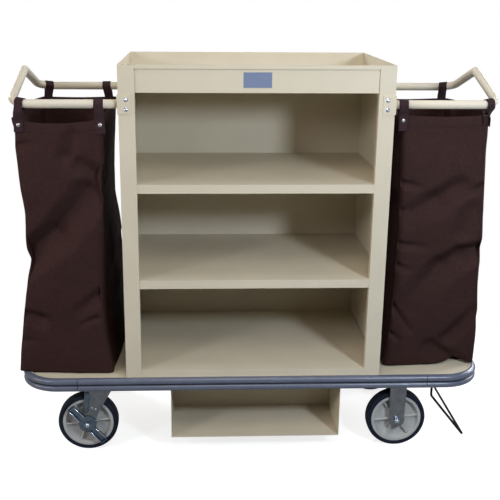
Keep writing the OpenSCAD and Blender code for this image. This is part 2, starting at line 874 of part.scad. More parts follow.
module swivel_fork(c) {
    color("slategray") on_casters([c]) difference() {
        union() {
            block([-leg_back, -fork_out, crown_low], [leg_front, fork_out, crown_z]);
            fork_legs() {
                polygon([
                    [-trail - leg_end_r + leg_taper, wheel_r], [-leg_back, crown_z],
                    [leg_front, crown_z], [leg_front, crown_low],
                    [leg_neck, leg_neck_z], [-trail + leg_end_r - leg_taper, wheel_r]]);
                translate([-trail, wheel_r]) circle(leg_end_r);
            }
        }
        translate([0, 0, crown_low - cut]) cylinder(h = crown_t + 2 * cut, d = kingpin_d + 2 * fit);
        axle_hole(-trail);
    }
}

module swivel_race(c) {
    color("silver") on_casters([c]) translate([0, 0, crown_z]) difference() {
        cylinder(h = race_h - clear, d = race_d);
        translate([0, 0, -cut]) cylinder(h = race_h + 2 * cut, d = kingpin_d + 2 * fit);
    }
}

// Axle bolt with its head on the inside and a domed nut on the outside,
// for a stack that reaches a given distance out from the wheel's middle
module axle_bolt(x, stack) {
    nut_base = 7;
    color("silver") translate([x, 0, wheel_r]) rotate([90, 0, 0]) {
        translate([0, 0, -fork_out - axle_head_h])
            cylinder(h = axle_head_h, d = axle_d * 1.6 / cos(30), $fn = 6);
        translate([0, 0, -fork_out - bite]) cylinder(h = fork_out + stack + nut_base + bite, d = axle_d);
        translate([0, 0, stack]) difference() {
            union() {
                cylinder(h = nut_base, d = cap_nut_w / cos(30), $fn = 6);
                translate([0, 0, nut_base - bite]) sphere(d = cap_nut_w - bite);
            }
            translate([0, 0, -cap_nut_w]) cylinder(h = cap_nut_w, d = 2 * cap_nut_w);
            translate([0, 0, -cut]) cylinder(h = nut_base + cut + fit, d = axle_d + 2 * fit);
        }
    }
}

module swivel_axle(c) {
    on_casters([c]) axle_bolt(-trail, fork_out + lever_t + 2 * clear);
}

module fixed_axles() {
    on_casters(fixed_casters) axle_bolt(0, fork_out);
}

// Two-ended brake lever that rocks on the axle outside the fork
module brake_lever(c) {
    edge = lever_w / 2;
    cup_r = lever_w * 1.15;
    fold_into_cup = 4;
    tab_t = 3;
    tab_h = lever_fold + 4;
    color("lightslategray") on_casters([c])
        translate([-trail, -fork_out - clear, wheel_r]) rotate([90, 0, 0]) rotate([0, 0, -lever_tilt])
            difference() {
                union() {
                    block([-lever_reach, -edge, 0], [lever_reach, edge, lever_t]);
                    cylinder(h = lever_t, r = cup_r);
                    for (s = [-1, 1]) mirror([s < 0 ? 1 : 0, 0, 0]) {
                        for (k = [-1, 1])
                            block([cup_r - fold_into_cup, k * (edge - tab_t / 2) - tab_t / 2, 0],
                                  [lever_reach, k * (edge - tab_t / 2) + tab_t / 2, lever_fold]);
                        block([lever_reach - tab_t, -edge, 0], [lever_reach, edge, tab_h]);
                    }
                }
                translate([0, 0, -cut]) cylinder(h = lever_t + 2 * cut, d = axle_d + 2 * fit);
            }
}

module fixed_forks() {
    end_r = fixed_leg_w / 2;
    color("slategray") on_casters(fixed_casters) difference() {
        union() {
            block([-plate_l / 2, -plate_w / 2, plate_low], [plate_l / 2, plate_w / 2, caster_h]);
            fork_legs() {
                polygon([
                    [-end_r + leg_taper, wheel_r], [-end_r - bite, plate_low + bite],
                    [end_r + bite, plate_low + bite], [end_r - leg_taper, wheel_r]]);
                translate([0, wheel_r]) circle(end_r);
            }
        }
        bolt_holes(plate_low - cut, plate_t + 2 * cut);
        axle_hole(0);
    }
}

module caster_bolts() {
    color("silver") on_casters(casters) at_bolts() {
        translate([0, 0, plate_low - bolt_head_h])
            cylinder(h = bolt_head_h, d = bolt_d * 1.6 / cos(30), $fn = 6);
        translate([0, 0, plate_low - bite]) cylinder(h = web_top + nut_h + 2 * bite - plate_low, d = bolt_d);
    }
}

module caster_nuts() {
    color("silver") on_casters(casters) at_bolts() translate([0, 0, web_top])
        hex_nut(bolt_d * 1.6, bolt_d, nut_h);
}

// Wheels: drawn about the axle, with the axle along Y

module on_axle(c, offset) {
    on_casters([c]) translate([offset, 0, wheel_r]) rotate([90, 0, 0]) children();
}

module hub(c, offset) {
    color("darkgray") on_axle(c, offset) {
        rotate_extrude() {
            translate([ring_in_r, -tyre_w / 2]) square([hub_ring, tyre_w]);
            translate([boss_d / 2 - bite, -web_t / 2]) square([ring_in_r - boss_d / 2 + 2 * bite, web_t]);
            translate([bush_d / 2 + fit, -hub_l / 2]) square([boss_d / 2 - bush_d / 2 - fit, hub_l]);
        }
        for (i = [0 : ribs - 1])
            rotate([0, 0, rib_start + i * 360 / ribs])
                block([boss_d / 2 - bite, -rib_t / 2, -rib_h / 2], [ring_in_r + bite, rib_t / 2, rib_h / 2]);
    }
}

module tyre(c, offset) {
    in_r = hub_r + fit;
    flat = tyre_w / 2 - shoulder_r;
    color("midnightblue") on_axle(c, offset) rotate_extrude() {
        translate([in_r, -tyre_w / 2]) square([wheel_r - shoulder_r - in_r, tyre_w]);
        translate([in_r, -flat]) square([wheel_r - in_r, 2 * flat]);
        for (s = [-1, 1])
            translate([wheel_r - shoulder_r, s * flat]) intersection() {
                circle(shoulder_r);
                translate([0, -shoulder_r]) square([shoulder_r, 2 * shoulder_r]);
            }
    }
}

module bush(c, offset) {
    bush_l = hub_l + fork_play;
    color("silver") on_axle(c, offset) difference() {
        cylinder(h = bush_l, d = bush_d, center = true);
        cylinder(h = bush_l + 2 * cut, d = axle_d + 2 * fit, center = true);
    }
}

module front_swivel_fork() { swivel_fork(swivel_casters[0]); }
module front_swivel_race() { swivel_race(swivel_casters[0]); }
module front_swivel_axle() { swivel_axle(swivel_casters[0]); }
module front_brake_lever() { brake_lever(swivel_casters[0]); }
module front_swivel_hub() { hub(swivel_casters[0], -trail); }
module front_swivel_tyre() { tyre(swivel_casters[0], -trail); }
module front_swivel_bush() { bush(swivel_casters[0], -trail); }
module rear_swivel_fork() { swivel_fork(swivel_casters[1]); }
module rear_swivel_race() { swivel_race(swivel_casters[1]); }
module rear_swivel_axle() { swivel_axle(swivel_casters[1]); }
module rear_brake_lever() { brake_lever(swivel_casters[1]); }
module rear_swivel_hub() { hub(swivel_casters[1], -trail); }
module rear_swivel_tyre() { tyre(swivel_casters[1], -trail); }
module rear_swivel_bush() { bush(swivel_casters[1], -trail); }
module front_fixed_hub() { hub(fixed_casters[0], 0); }
module front_fixed_tyre() { tyre(fixed_casters[0], 0); }
module front_fixed_bush() { bush(fixed_casters[0], 0); }
module rear_fixed_hub() { hub(fixed_casters[1], 0); }
module rear_fixed_tyre() { tyre(fixed_casters[1], 0); }
module rear_fixed_bush() { bush(fixed_casters[1], 0); }

deck_pan();
left_caster_channel();
right_caster_channel();
bumper_front();
bumper_rear();
bumper_left_end();
bumper_right_end();
left_side_panel();
right_side_panel();
back_panel();
header_panel();
tray_floor();
upper_shelf();
middle_shelf();
bottom_shelf();
shelf_rails();
name_plate();
left_handle();
right_handle();
handle_brackets();
handle_screws();
handle_nuts();
left_bag();
right_bag();
left_bag_straps();
right_bag_straps();
bag_snaps();
under_box();
vacuum_rack();
rack_clamps();
deck_screws();
swivel_plates();
kingpins();
fixed_forks();
fixed_axles();
caster_bolts();
caster_nuts();
front_swivel_fork();
front_swivel_race();
front_swivel_axle();
front_brake_lever();
front_swivel_hub();
front_swivel_tyre();
front_swivel_bush();
rear_swivel_fork();
rear_swivel_race();
rear_swivel_axle();
rear_brake_lever();
rear_swivel_hub();
rear_swivel_tyre();
rear_swivel_bush();
front_fixed_hub();
front_fixed_tyre();
front_fixed_bush();
rear_fixed_hub();
rear_fixed_tyre();
rear_fixed_bush();
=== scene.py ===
# A housekeeping cart: a steel cabinet with open shelves on a long deck, and a hung bag at each end.
# Metres, in the frame of the CAD model: +X to the cart's right, +Y to its rear, +Z up.
import math

import bmesh
import bpy
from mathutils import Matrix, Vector, noise


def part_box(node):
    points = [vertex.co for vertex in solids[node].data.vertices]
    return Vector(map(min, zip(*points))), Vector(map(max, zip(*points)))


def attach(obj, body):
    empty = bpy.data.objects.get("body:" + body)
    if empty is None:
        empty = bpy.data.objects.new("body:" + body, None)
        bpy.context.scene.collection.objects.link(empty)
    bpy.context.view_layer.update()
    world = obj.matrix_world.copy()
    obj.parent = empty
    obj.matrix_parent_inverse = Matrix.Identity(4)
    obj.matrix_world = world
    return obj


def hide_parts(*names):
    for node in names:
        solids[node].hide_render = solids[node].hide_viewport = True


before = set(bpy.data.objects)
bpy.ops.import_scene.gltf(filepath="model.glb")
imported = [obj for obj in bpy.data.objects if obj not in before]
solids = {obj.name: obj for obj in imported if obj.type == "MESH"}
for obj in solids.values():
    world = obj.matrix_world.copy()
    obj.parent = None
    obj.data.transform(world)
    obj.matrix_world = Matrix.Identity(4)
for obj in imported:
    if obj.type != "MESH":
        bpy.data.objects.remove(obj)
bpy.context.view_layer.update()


# Deck pan and caster channels
# A flat sheet-steel deck with a band welded round its edge, on two folded channels that carry the casters.
# They are powder coated in one beige: a satin skin with a fine orange peel and a little cloudiness.
def shader_of(finish):
    return finish.node_tree.nodes["Principled BSDF"]


def new_finish(name, colour, roughness, metallic=0.0):
    finish = bpy.data.materials.new(name)
    finish.use_nodes = True
    shader = shader_of(finish)
    shader.inputs["Base Color"].default_value = (*colour, 1)
    shader.inputs["Roughness"].default_value = roughness
    shader.inputs["Metallic"].default_value = metallic
    return finish


def grain(finish, per_metre, stretch=(1, 1, 1), detail=2.0):
    """Noise with about so many grains in a metre, stretched along the axes."""
    tree = finish.node_tree
    place = tree.nodes.new("ShaderNodeTexCoord")
    scale = tree.nodes.new("ShaderNodeMapping")
    scale.inputs["Scale"].default_value = stretch
    speckle = tree.nodes.new("ShaderNodeTexNoise")
    speckle.inputs["Scale"].default_value = per_metre
    speckle.inputs["Detail"].default_value = detail
    tree.links.new(place.outputs["Object"], scale.inputs["Vector"])
    tree.links.new(scale.outputs["Vector"], speckle.inputs["Vector"])
    return speckle.outputs["Fac"]


def tint(finish, amount, dark, light, low=0.3, high=0.7):
    """The colour goes from dark to light as the amount goes from low to high."""
    tree = finish.node_tree
    ramp = tree.nodes.new("ShaderNodeValToRGB")
    ramp.color_ramp.elements[0].position = low
    ramp.color_ramp.elements[0].color = (*dark, 1)
    ramp.color_ramp.elements[1].position = high
    ramp.color_ramp.elements[1].color = (*light, 1)
    tree.links.new(amount, ramp.inputs["Fac"])
    tree.links.new(ramp.outputs["Color"], shader_of(finish).inputs["Base Color"])


def shine(finish, amount, smooth, rough):
    """The roughness goes from smooth to rough with the amount."""
    tree = finish.node_tree
    spread = tree.nodes.new("ShaderNodeMapRange")
    spread.inputs["From Min"].default_value = 0.3
    spread.inputs["From Max"].default_value = 0.7
    spread.inputs["To Min"].default_value = smooth
    spread.inputs["To Max"].default_value = rough
    tree.links.new(amount, spread.inputs["Value"])
    tree.links.new(spread.outputs["Result"], shader_of(finish).inputs["Roughness"])


def relief(finish, amount, height):
    """Adds bumps of that height in metres to those the finish already has."""
    tree = finish.node_tree
    bump = tree.nodes.new("ShaderNodeBump")
    bump.inputs["Distance"].default_value = height
    normal = shader_of(finish).inputs["Normal"]
    if normal.is_linked:
        tree.links.new(normal.links[0].from_socket, bump.inputs["Normal"])
    tree.links.new(amount, bump.inputs["Height"])
    tree.links.new(bump.outputs["Normal"], normal)


def shade(colour, times):
    return tuple(c * times for c in colour)


def powder_coat(name, colour):
    finish = new_finish(name, colour, 0.45)
    shader_of(finish).inputs["Specular IOR Level"].default_value = 0.2
    tint(finish, grain(finish, 7), shade(colour, 0.97), shade(colour, 1.02))
    shine(finish, grain(finish, 60), 0.40, 0.52)
    relief(finish, grain(finish, 700), 0.00005)
    return finish


def coat(finish, *names):
    for name in names:
        for slot in solids[name].material_slots:
            slot.material = finish


beige = powder_coat("beige_powder_coat", (0.660, 0.588, 0.455))
coat(beige, "deck_pan", "left_caster_channel", "right_caster_channel")


# Bumper
# A double bead of slate-grey vinyl round the deck's band: a straight strip at the front and at the rear,
# and an end piece that goes round both corners. Its skin is smooth, with faint lines from the extrusion.
# A dark line of painted shade runs along the groove between the beads.
groove_z = 0.2655
groove_half = 0.0035


def painted_shade_line(finish, z, half, colour):
    """Paints shade into the colour: a thin dark level line at height z, darkest at its middle."""
    tree = finish.node_tree
    place = tree.nodes.new("ShaderNodeTexCoord")
    axes = tree.nodes.new("ShaderNodeSeparateXYZ")
    above = tree.nodes.new("ShaderNodeMath")
    above.operation = "SUBTRACT"
    above.inputs[1].default_value = z
    away = tree.nodes.new("ShaderNodeMath")
    away.operation = "ABSOLUTE"
    amount = tree.nodes.new("ShaderNodeMapRange")
    amount.interpolation_type = "SMOOTHSTEP"
    amount.inputs["From Max"].default_value = half
    amount.inputs["To Min"].default_value = 1
    amount.inputs["To Max"].default_value = 0
    both = tree.nodes.new("ShaderNodeMixRGB")
    both.inputs["Color2"].default_value = (*colour, 1)
    base = shader_of(finish).inputs["Base Color"]
    tree.links.new(place.outputs["Object"], axes.inputs["Vector"])
    tree.links.new(axes.outputs["Z"], above.inputs[0])
    tree.links.new(above.outputs["Value"], away.inputs[0])
    tree.links.new(away.outputs["Value"], amount.inputs["Value"])
    tree.links.new(amount.outputs["Result"], both.inputs["Fac"])
    tree.links.new(base.links[0].from_socket, both.inputs["Color1"])
    tree.links.new(both.outputs["Color"], base)


slate_colour = (0.115, 0.131, 0.186)
slate = new_finish("slate_vinyl", slate_colour, 0.32)
shader_of(slate).inputs["Specular IOR Level"].default_value = 0.6
tint(slate, grain(slate, 25), shade(slate_colour, 0.93), shade(slate_colour, 1.08))
# The groove's shade is painted here as a near-black line in the vinyl's colour.
painted_shade_line(slate, groove_z, groove_half, shade(slate_colour, 0.12))
shine(slate, grain(slate, 90), 0.27, 0.37)
relief(slate, grain(slate, 900, (0.05, 1, 1)), 0.00004)
coat(slate, "bumper_front", "bumper_rear", "bumper_left_end", "bumper_right_end")


# Under box
# An open-fronted box of folded sheet under the middle of the deck, hung by its top flanges.
# It has the deck's beige coat, and its pan-head screws are painted over with the deck.
coat(beige, "under_box", "deck_screws")


# Vacuum rack
# One length of black coated rod, bent to a sloping loop under the right end. Two saddle clamps hold its ends.
black_rod = new_finish("black_rod_coat", (0.008, 0.008, 0.009), 0.45)
shader_of(black_rod).inputs["Specular IOR Level"].default_value = 0.1
tint(black_rod, grain(black_rod, 60), (0.006, 0.006, 0.007), (0.011, 0.011, 0.012))
shine(black_rod, grain(black_rod, 200), 0.32, 0.5)
relief(black_rod, grain(black_rod, 900), 0.00005)
coat(black_rod, "vacuum_rack")
zinc_colour = (0.195, 0.212, 0.23)
zinc = new_finish("zinc_plate", zinc_colour, 0.38, 1.0)
tint(zinc, grain(zinc, 45), shade(zinc_colour, 0.85), shade(zinc_colour, 1.12))
shine(zinc, grain(zinc, 160), 0.24, 0.38)
relief(zinc, grain(zinc, 25), 0.0005)
relief(zinc, grain(zinc, 900), 0.00003)
coat(zinc, "rack_clamps")


# Cabinet
# Side panels whose folded edges make the posts, a back panel, a header, a tray floor and three shelves.
# All are folded sheet with the same beige coat. The loose shelves lie on angle rails on the side walls.
coat(beige, "left_side_panel", "right_side_panel", "back_panel", "header_panel", "tray_floor")
coat(beige, "upper_shelf", "middle_shelf", "bottom_shelf", "shelf_rails")


# Name plate
# A thin blank plate on the middle of the header, brushed along its length and tinted blue-grey.
plate_blue = new_finish("blue_grey_plate", (0.215, 0.26, 0.40), 0.38, 0.3)
tint(plate_blue, grain(plate_blue, 1200, (0.02, 1, 1)), (0.195, 0.24, 0.37), (0.24, 0.285, 0.43))
shine(plate_blue, grain(plate_blue, 900, (0.03, 1, 1)), 0.3, 0.45)
relief(plate_blue, grain(plate_blue, 1500, (0.02, 1, 1)), 0.00002)
coat(plate_blue, "name_plate")


# Handles
# Each end has one cream-coated loop of round steel tube, bent wide at its corners and tighter at its peak.
# Folded brackets hold its ends to the posts, each with two bright dome-head screws and their nuts.
tube_radius = 0.0135
tube_y = 0.255
tube_z = 1.1814
handle_x = 0.746
peak_rise = 0.080
tube_bend = 0.055
peak_bend = 0.030


def new_piece(name, points, faces, finish, slot):
    """A smooth-shaded mesh piece with its finish. The slot is not used."""
    mesh = bpy.data.meshes.new(name)
    mesh.from_pydata(points, [], faces)
    mesh.materials.append(finish)
    mesh.shade_smooth()
    piece = bpy.data.objects.new(name, mesh)
    bpy.context.scene.collection.objects.link(piece)
    return piece


def bent_line(corners, bends, steps=10):
    """Points along straight lines between the corners, with each inner corner rounded to its bend radius."""
    points = [corners[0]]
    for a, b, c, bend in zip(corners, corners[1:], corners[2:], bends):
        back, ahead = (a - b).normalized(), (c - b).normalized()
        half = back.angle(ahead) / 2
        centre = b + (back + ahead).normalized() * bend / math.sin(half)
        start = (b + back * bend / math.tan(half) - centre).normalized()
        end = (b + ahead * bend / math.tan(half) - centre).normalized()
        points += [centre + start.slerp(end, k / steps) * bend for k in range(steps + 1)]
    return points + [corners[-1]]


def swept_faces(rings, count):
    """Faces between rings of points, one after another, and a cap at each end."""
    faces = []
    for k in range(rings - 1):
        low, high = k * count, (k + 1) * count
        faces += [(low + m, low + (m + 1) % count, high + (m + 1) % count, high + m) for m in range(count)]
    last = (rings - 1) * count
    return faces + [tuple(reversed(range(count))), tuple(range(last, last + count))]


def round_tube(path, radius, count=24):
    """Points and faces of a round rod along a path, closed at both ends."""
    points = []
    across = (path[1] - path[0]).orthogonal()
    for k, place in enumerate(path):
        ahead = (path[min(k + 1, len(path) - 1)] - path[max(k - 1, 0)]).normalized()
        across = (across - ahead * across.dot(ahead)).normalized()
        up = ahead.cross(across)
        for m in range(count):
            angle = 2 * math.pi * m / count
            points.append(place + (across * math.cos(angle) + up * math.sin(angle)) * radius)
    return points, swept_faces(len(path), count)


cream = powder_coat("cream_powder_coat", (0.72, 0.65, 0.525))
tube_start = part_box("right_handle")[0][0]
for side, way in (("left", -1), ("right", 1)):
    loop = [Vector((way * x, y, z)) for x, y, z in (
        (tube_start, -tube_y, tube_z), (handle_x, -tube_y, tube_z), (handle_x, 0, tube_z + peak_rise),
        (handle_x, tube_y, tube_z), (tube_start, tube_y, tube_z))]
    handle_line = bent_line(loop, (tube_bend, peak_bend, tube_bend))
    handle = new_piece(f"{side}_handle_loop", *round_tube(handle_line, tube_radius), cream, "handle_paint")
    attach(handle, "cart")
    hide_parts(f"{side}_handle")
coat(beige, "handle_brackets")
bright_colour = (0.55, 0.60, 0.70)
bright_zinc = new_finish("bright_zinc", bright_colour, 0.2, 1.0)
tint(bright_zinc, grain(bright_zinc, 300), shade(bright_colour, 0.9), shade(bright_colour, 1.05))
shine(bright_zinc, grain(bright_zinc, 500), 0.14, 0.28)
coat(bright_zinc, "handle_screws", "handle_nuts")


# Bags
# Open-topped bags of coated dark-brown weave, sewn from four walls and a bottom, with a folded hem.
# They hang from the handle tubes, sag a little, crease across their faces and stand on the deck.
weave_pitch = 0.0011
unit_wave = 0.314
cloth_thick = 0.0016
hem_depth = 0.030
hem_extra = 0.0006
seam_radius = 0.018
crease_strength = 1.35
bag_floor = 0.2895
hem_drops = (0, 0.0015, 0.008, 0.016, 0.024, hem_depth - 0.001, hem_depth + 0.001, 0.036)
hem_last_row = 5
wall_columns = {"front": 56, "right": 56, "rear": 36, "left": 56}
wall_rows = 128
wall_out = {"front": Vector((0, -1, 0)), "right": Vector((1, 0, 0)),
            "rear": Vector((0, 1, 0)), "left": Vector((-1, 0, 0))}
wall_ends = {"front": ("front_left", "front_right"), "right": ("front_right", "rear_right"),
             "rear": ("rear_right", "rear_left"), "left": ("rear_left", "front_left")}


def woven(name, colour):
    """A plain weave that follows the cloth, matt, with a slightly uneven coating.
    The wave texture's own bands lie unit_wave apart."""
    finish = new_finish(name, colour, 0.62)
    tree = finish.node_tree
    shader_of(finish).inputs["Specular IOR Level"].default_value = 0.06
    shader_of(finish).inputs["Specular Tint"].default_value = (1.0, 0.70, 0.64, 1)
    spread = tree.nodes.new("ShaderNodeUVMap")
    spread.uv_map = "cloth"
    threads = []
    for direction in ("X", "Y"):
        wave = tree.nodes.new("ShaderNodeTexWave")
        wave.bands_direction = direction
        wave.inputs["Scale"].default_value = unit_wave / weave_pitch
        wave.inputs["Distortion"].default_value = 0.6
        tree.links.new(spread.outputs["UV"], wave.inputs["Vector"])
        threads.append(wave.outputs["Fac"])
    cross = tree.nodes.new("ShaderNodeMath")
    cross.operation = "MULTIPLY"
    tree.links.new(threads[0], cross.inputs[0])
    tree.links.new(threads[1], cross.inputs[1])
    tint(finish, grain(finish, 130, detail=5), shade(colour, 0.87), shade(colour, 1.12))
    shine(finish, grain(finish, 120), 0.54, 0.66)
    relief(finish, cross.outputs["Value"], 0.00010)
    relief(finish, grain(finish, 90), 0.0004)
    return finish


def through(knots, z):
    """The place (x, y) at height z on a smooth curve through knots of (z, x, y), lowest first."""
    last = len(knots) - 1
    z = min(max(z, knots[0][0]), knots[last][0])
    i = max(k for k in range(last) if knots[k][0] <= z)

    def slope(k):
        a, b = knots[max(k - 1, 0)], knots[min(k + 1, last)]
        return Vector((b[1] - a[1], b[2] - a[2])) / (b[0] - a[0])

    span = knots[i + 1][0] - knots[i][0]
    t = (z - knots[i][0]) / span
    start, end = Vector(knots[i][1:]), Vector(knots[i + 1][1:])
    return ((2 * t ** 3 - 3 * t ** 2 + 1) * start + (t ** 3 - 2 * t ** 2 + t) * span * slope(i)
            + (3 * t ** 2 - 2 * t ** 3) * end + (t ** 3 - t ** 2) * span * slope(i + 1))


def crease_depth(creases, along, z):
    """How far creases press a wall in. Each is (start, end, depth at start, depth at end, width).
    A crease has flat flanks, a steep one above its line and a gentle one below, as in cloth that sags."""
    cubes = 0.0
    here = Vector((along, z))
    for start, end, start_depth, end_depth, width in creases:
        start, line = Vector(start), Vector(end) - Vector(start)
        t = min(max((here - start).dot(line) / line.length_squared, 0), 1)
        away = here - start - line * t
        reach = width * (1.2 - 0.4 * away.y / max(away.length, 1e-9))
        flank = max(0, 1.1 - math.sqrt(away.length_squared / reach ** 2 + 0.01)) ** 1.15
        cubes += ((start_depth + (end_depth - start_depth) * t) * flank) ** 3
    return cubes ** (1 / 3)


def seam_round(s):
    """Rounds a wall off towards a seam: at s along it from the seam, how far to move along and inward."""
    angle = math.pi / 4 * max(0, 1 - s / seam_radius)
    return max(0, seam_radius * (1 - math.sin(angle)) - s), seam_radius * (1 - math.cos(angle))


def wall_shares(count):
    """Shares along a wall, closer together near its two seams."""
    even = [k / count for k in range(count)]
    return [0.6 * t + 0.4 * (0.5 - 0.5 * math.cos(math.pi * t)) for t in even]


def row_heights(hem_z, low_z):
    """Heights down one column of cloth: close together over the hem, then even."""
    top = hem_z - hem_drops[-1]
    even = [top + (low_z - top) * (k + 1) / wall_rows for k in range(wall_rows)]
    return [hem_z - drop for drop in hem_drops] + even


def bottom_height(bag, wall, x):
    """The height of a wall's lower edge, on the deck but for a lift of (height, place, width)."""
    height, middle, width = bag["lift"].get(wall, (0, 0, 1))
    return bag_floor + height * math.exp(-((x - middle) / width) ** 2)


def wall_column(bag, wall, t):
    """One column of a wall's points, from the hem down."""
    names = wall_ends[wall]
    a, b = (bag["corners"][n] for n in names)
    sag, lean = bag["sag"][wall]
    hem_z = (1 - t) * bag["hem"][names[0]] + t * bag["hem"][names[1]] - sag * math.sin(math.pi * t ** lean)
    low_z = bottom_height(bag, wall, through(a, 0).lerp(through(b, 0), t).x)
    ease = min(1, t * 6 + 0.25, (1 - t) * 6 + 0.25)
    column = []
    for row, z in enumerate(row_heights(hem_z, low_z)):
        start, end = through(a, z), through(b, z)
        flat = start.lerp(end, t)
        length = (end - start).length
        from_start, start_in = seam_round(t * length)
        from_end, end_in = seam_round((1 - t) * length)
        flat += (end - start) / length * (from_start - from_end)
        place = Vector((*flat, z))
        along = flat.x if wall in ("front", "rear") else flat.y
        share = (z - low_z) / (hem_z - low_z)
        swell = bag["swell"][wall] * math.sin(math.pi * t) * max(0, math.sin(math.pi * share)) ** 0.7
        press = crease_strength * crease_depth(bag["creases"][wall], along, z)
        billow = noise.noise(place * 6 + bag["seed"])
        ripple = 0.006 * billow + 0.0024 * noise.noise(place * 13) + 0.0010 * noise.noise(place * 30)
        hem = hem_extra if row <= hem_last_row else 0
        column.append(place + wall_out[wall] * (swell - press + ripple * ease + hem - start_in - end_in))
    return column


def bag_cloth(name, bag, finish):
    """Walls lofted between four sewn corner lines, a bottom panel, and the cloth's thickness."""
    grid = [wall_column(bag, wall, t) for wall, count in wall_columns.items() for t in wall_shares(count)]
    around, rows = len(grid), len(grid[0])
    soft = [[(grid[i - 1][j] + 4 * grid[i][j] + grid[(i + 1) % around][j]) / 6 for j in range(rows)]
            for i in range(around)]
    points = [p for column in soft for p in column]
    faces = [(i * rows + j + 1, (i + 1) % around * rows + j + 1, (i + 1) % around * rows + j, i * rows + j)
             for i in range(around) for j in range(rows - 1)]
    rim = [i * rows + rows - 1 for i in range(around)]
    edge = [points[k] for k in rim]
    middle = sum(edge, Vector()) / around
    for ring in range(1, 6):
        start = len(points)
        points += [p.lerp(middle, ring / 6) for p in edge]
        fresh = list(range(start, start + around))
        faces += [(rim[i], fresh[i], fresh[(i + 1) % around], rim[(i + 1) % around]) for i in range(around)]
        rim = fresh
    points.append(middle)
    faces += [(rim[i], len(points) - 1, rim[(i + 1) % around]) for i in range(around)]
    piece = new_piece(name, points, faces, finish, "bag_fabric")
    lay_weave(piece, soft)
    skin = piece.modifiers.new("cloth_thickness", "SOLIDIFY")
    skin.thickness = cloth_thick
    skin.offset = -1
    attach(piece, "cart")
    return piece, soft


def lay_weave(piece, columns):
    """Lays the cloth map in metres: round the bag one way and down it the other."""
    around, rows = len(columns), len(columns[0])
    below_hem = [column[len(hem_drops)] for column in columns]
    across = [0.0]
    for i in range(around):
        across.append(across[-1] + (below_hem[(i + 1) % around] - below_hem[i]).length)
    cloth = piece.data.uv_layers.new(name="cloth")
    for face in piece.data.polygons:
        owners = [piece.data.loops[c].vertex_index // rows for c in face.loop_indices]
        wraps = around - 1 in owners
        for corner, i in zip(face.loop_indices, owners):
            place = piece.data.vertices[piece.data.loops[corner].vertex_index].co
            if max(owners) >= around:
                cloth.data[corner].uv = (place.x, place.y)
            else:
                cloth.data[corner].uv = (across[around if wraps and i == 0 else i], place.z)


def stitches(name, path, out, finish, slot):
    """A row of thread stitches along a path of points, standing on the cloth."""
    stitch, gap, thread = 0.0034, 0.0016, 0.00055
    points, faces = [], []
    travel = 0.0
    for k in range(len(path) - 1):
        a, b = path[k], path[k + 1]
        run = (b - a).length
        ahead = (b - a).normalized()
        up = out[k].cross(ahead).normalized()
        while travel < run:
            middle = a + ahead * travel
            n = len(points)
            half = ahead * stitch / 2
            points += [middle - half, middle + up * thread, middle + out[k] * thread,
                       middle - up * thread, middle - out[k] * thread, middle + half]
            faces += [(n, n + 1 + (s + 1) % 4, n + 1 + s) for s in range(4)]
            faces += [(n + 5, n + 1 + s, n + 1 + (s + 1) % 4) for s in range(4)]
            travel += stitch + gap
        travel -= run
    piece = new_piece(name, points, faces, finish, slot)
    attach(piece, "cart")
    return piece


def hem_stitches(name, columns, finish):
    """Stitches all round the bag, just above the hem's lower edge."""
    off_cloth = 0.0004
    walls = [wall for wall, count in wall_columns.items() for k in range(count)]
    path, out = [], []
    for i in range(len(columns) + 1):
        column, wall = columns[i % len(columns)], walls[i % len(walls)]
        line = column[hem_last_row - 1].lerp(column[hem_last_row], 0.5)
        path.append(line + wall_out[wall] * off_cloth)
        out.append(wall_out[wall])
    return stitches(name, path, out, finish, "bag_fabric")


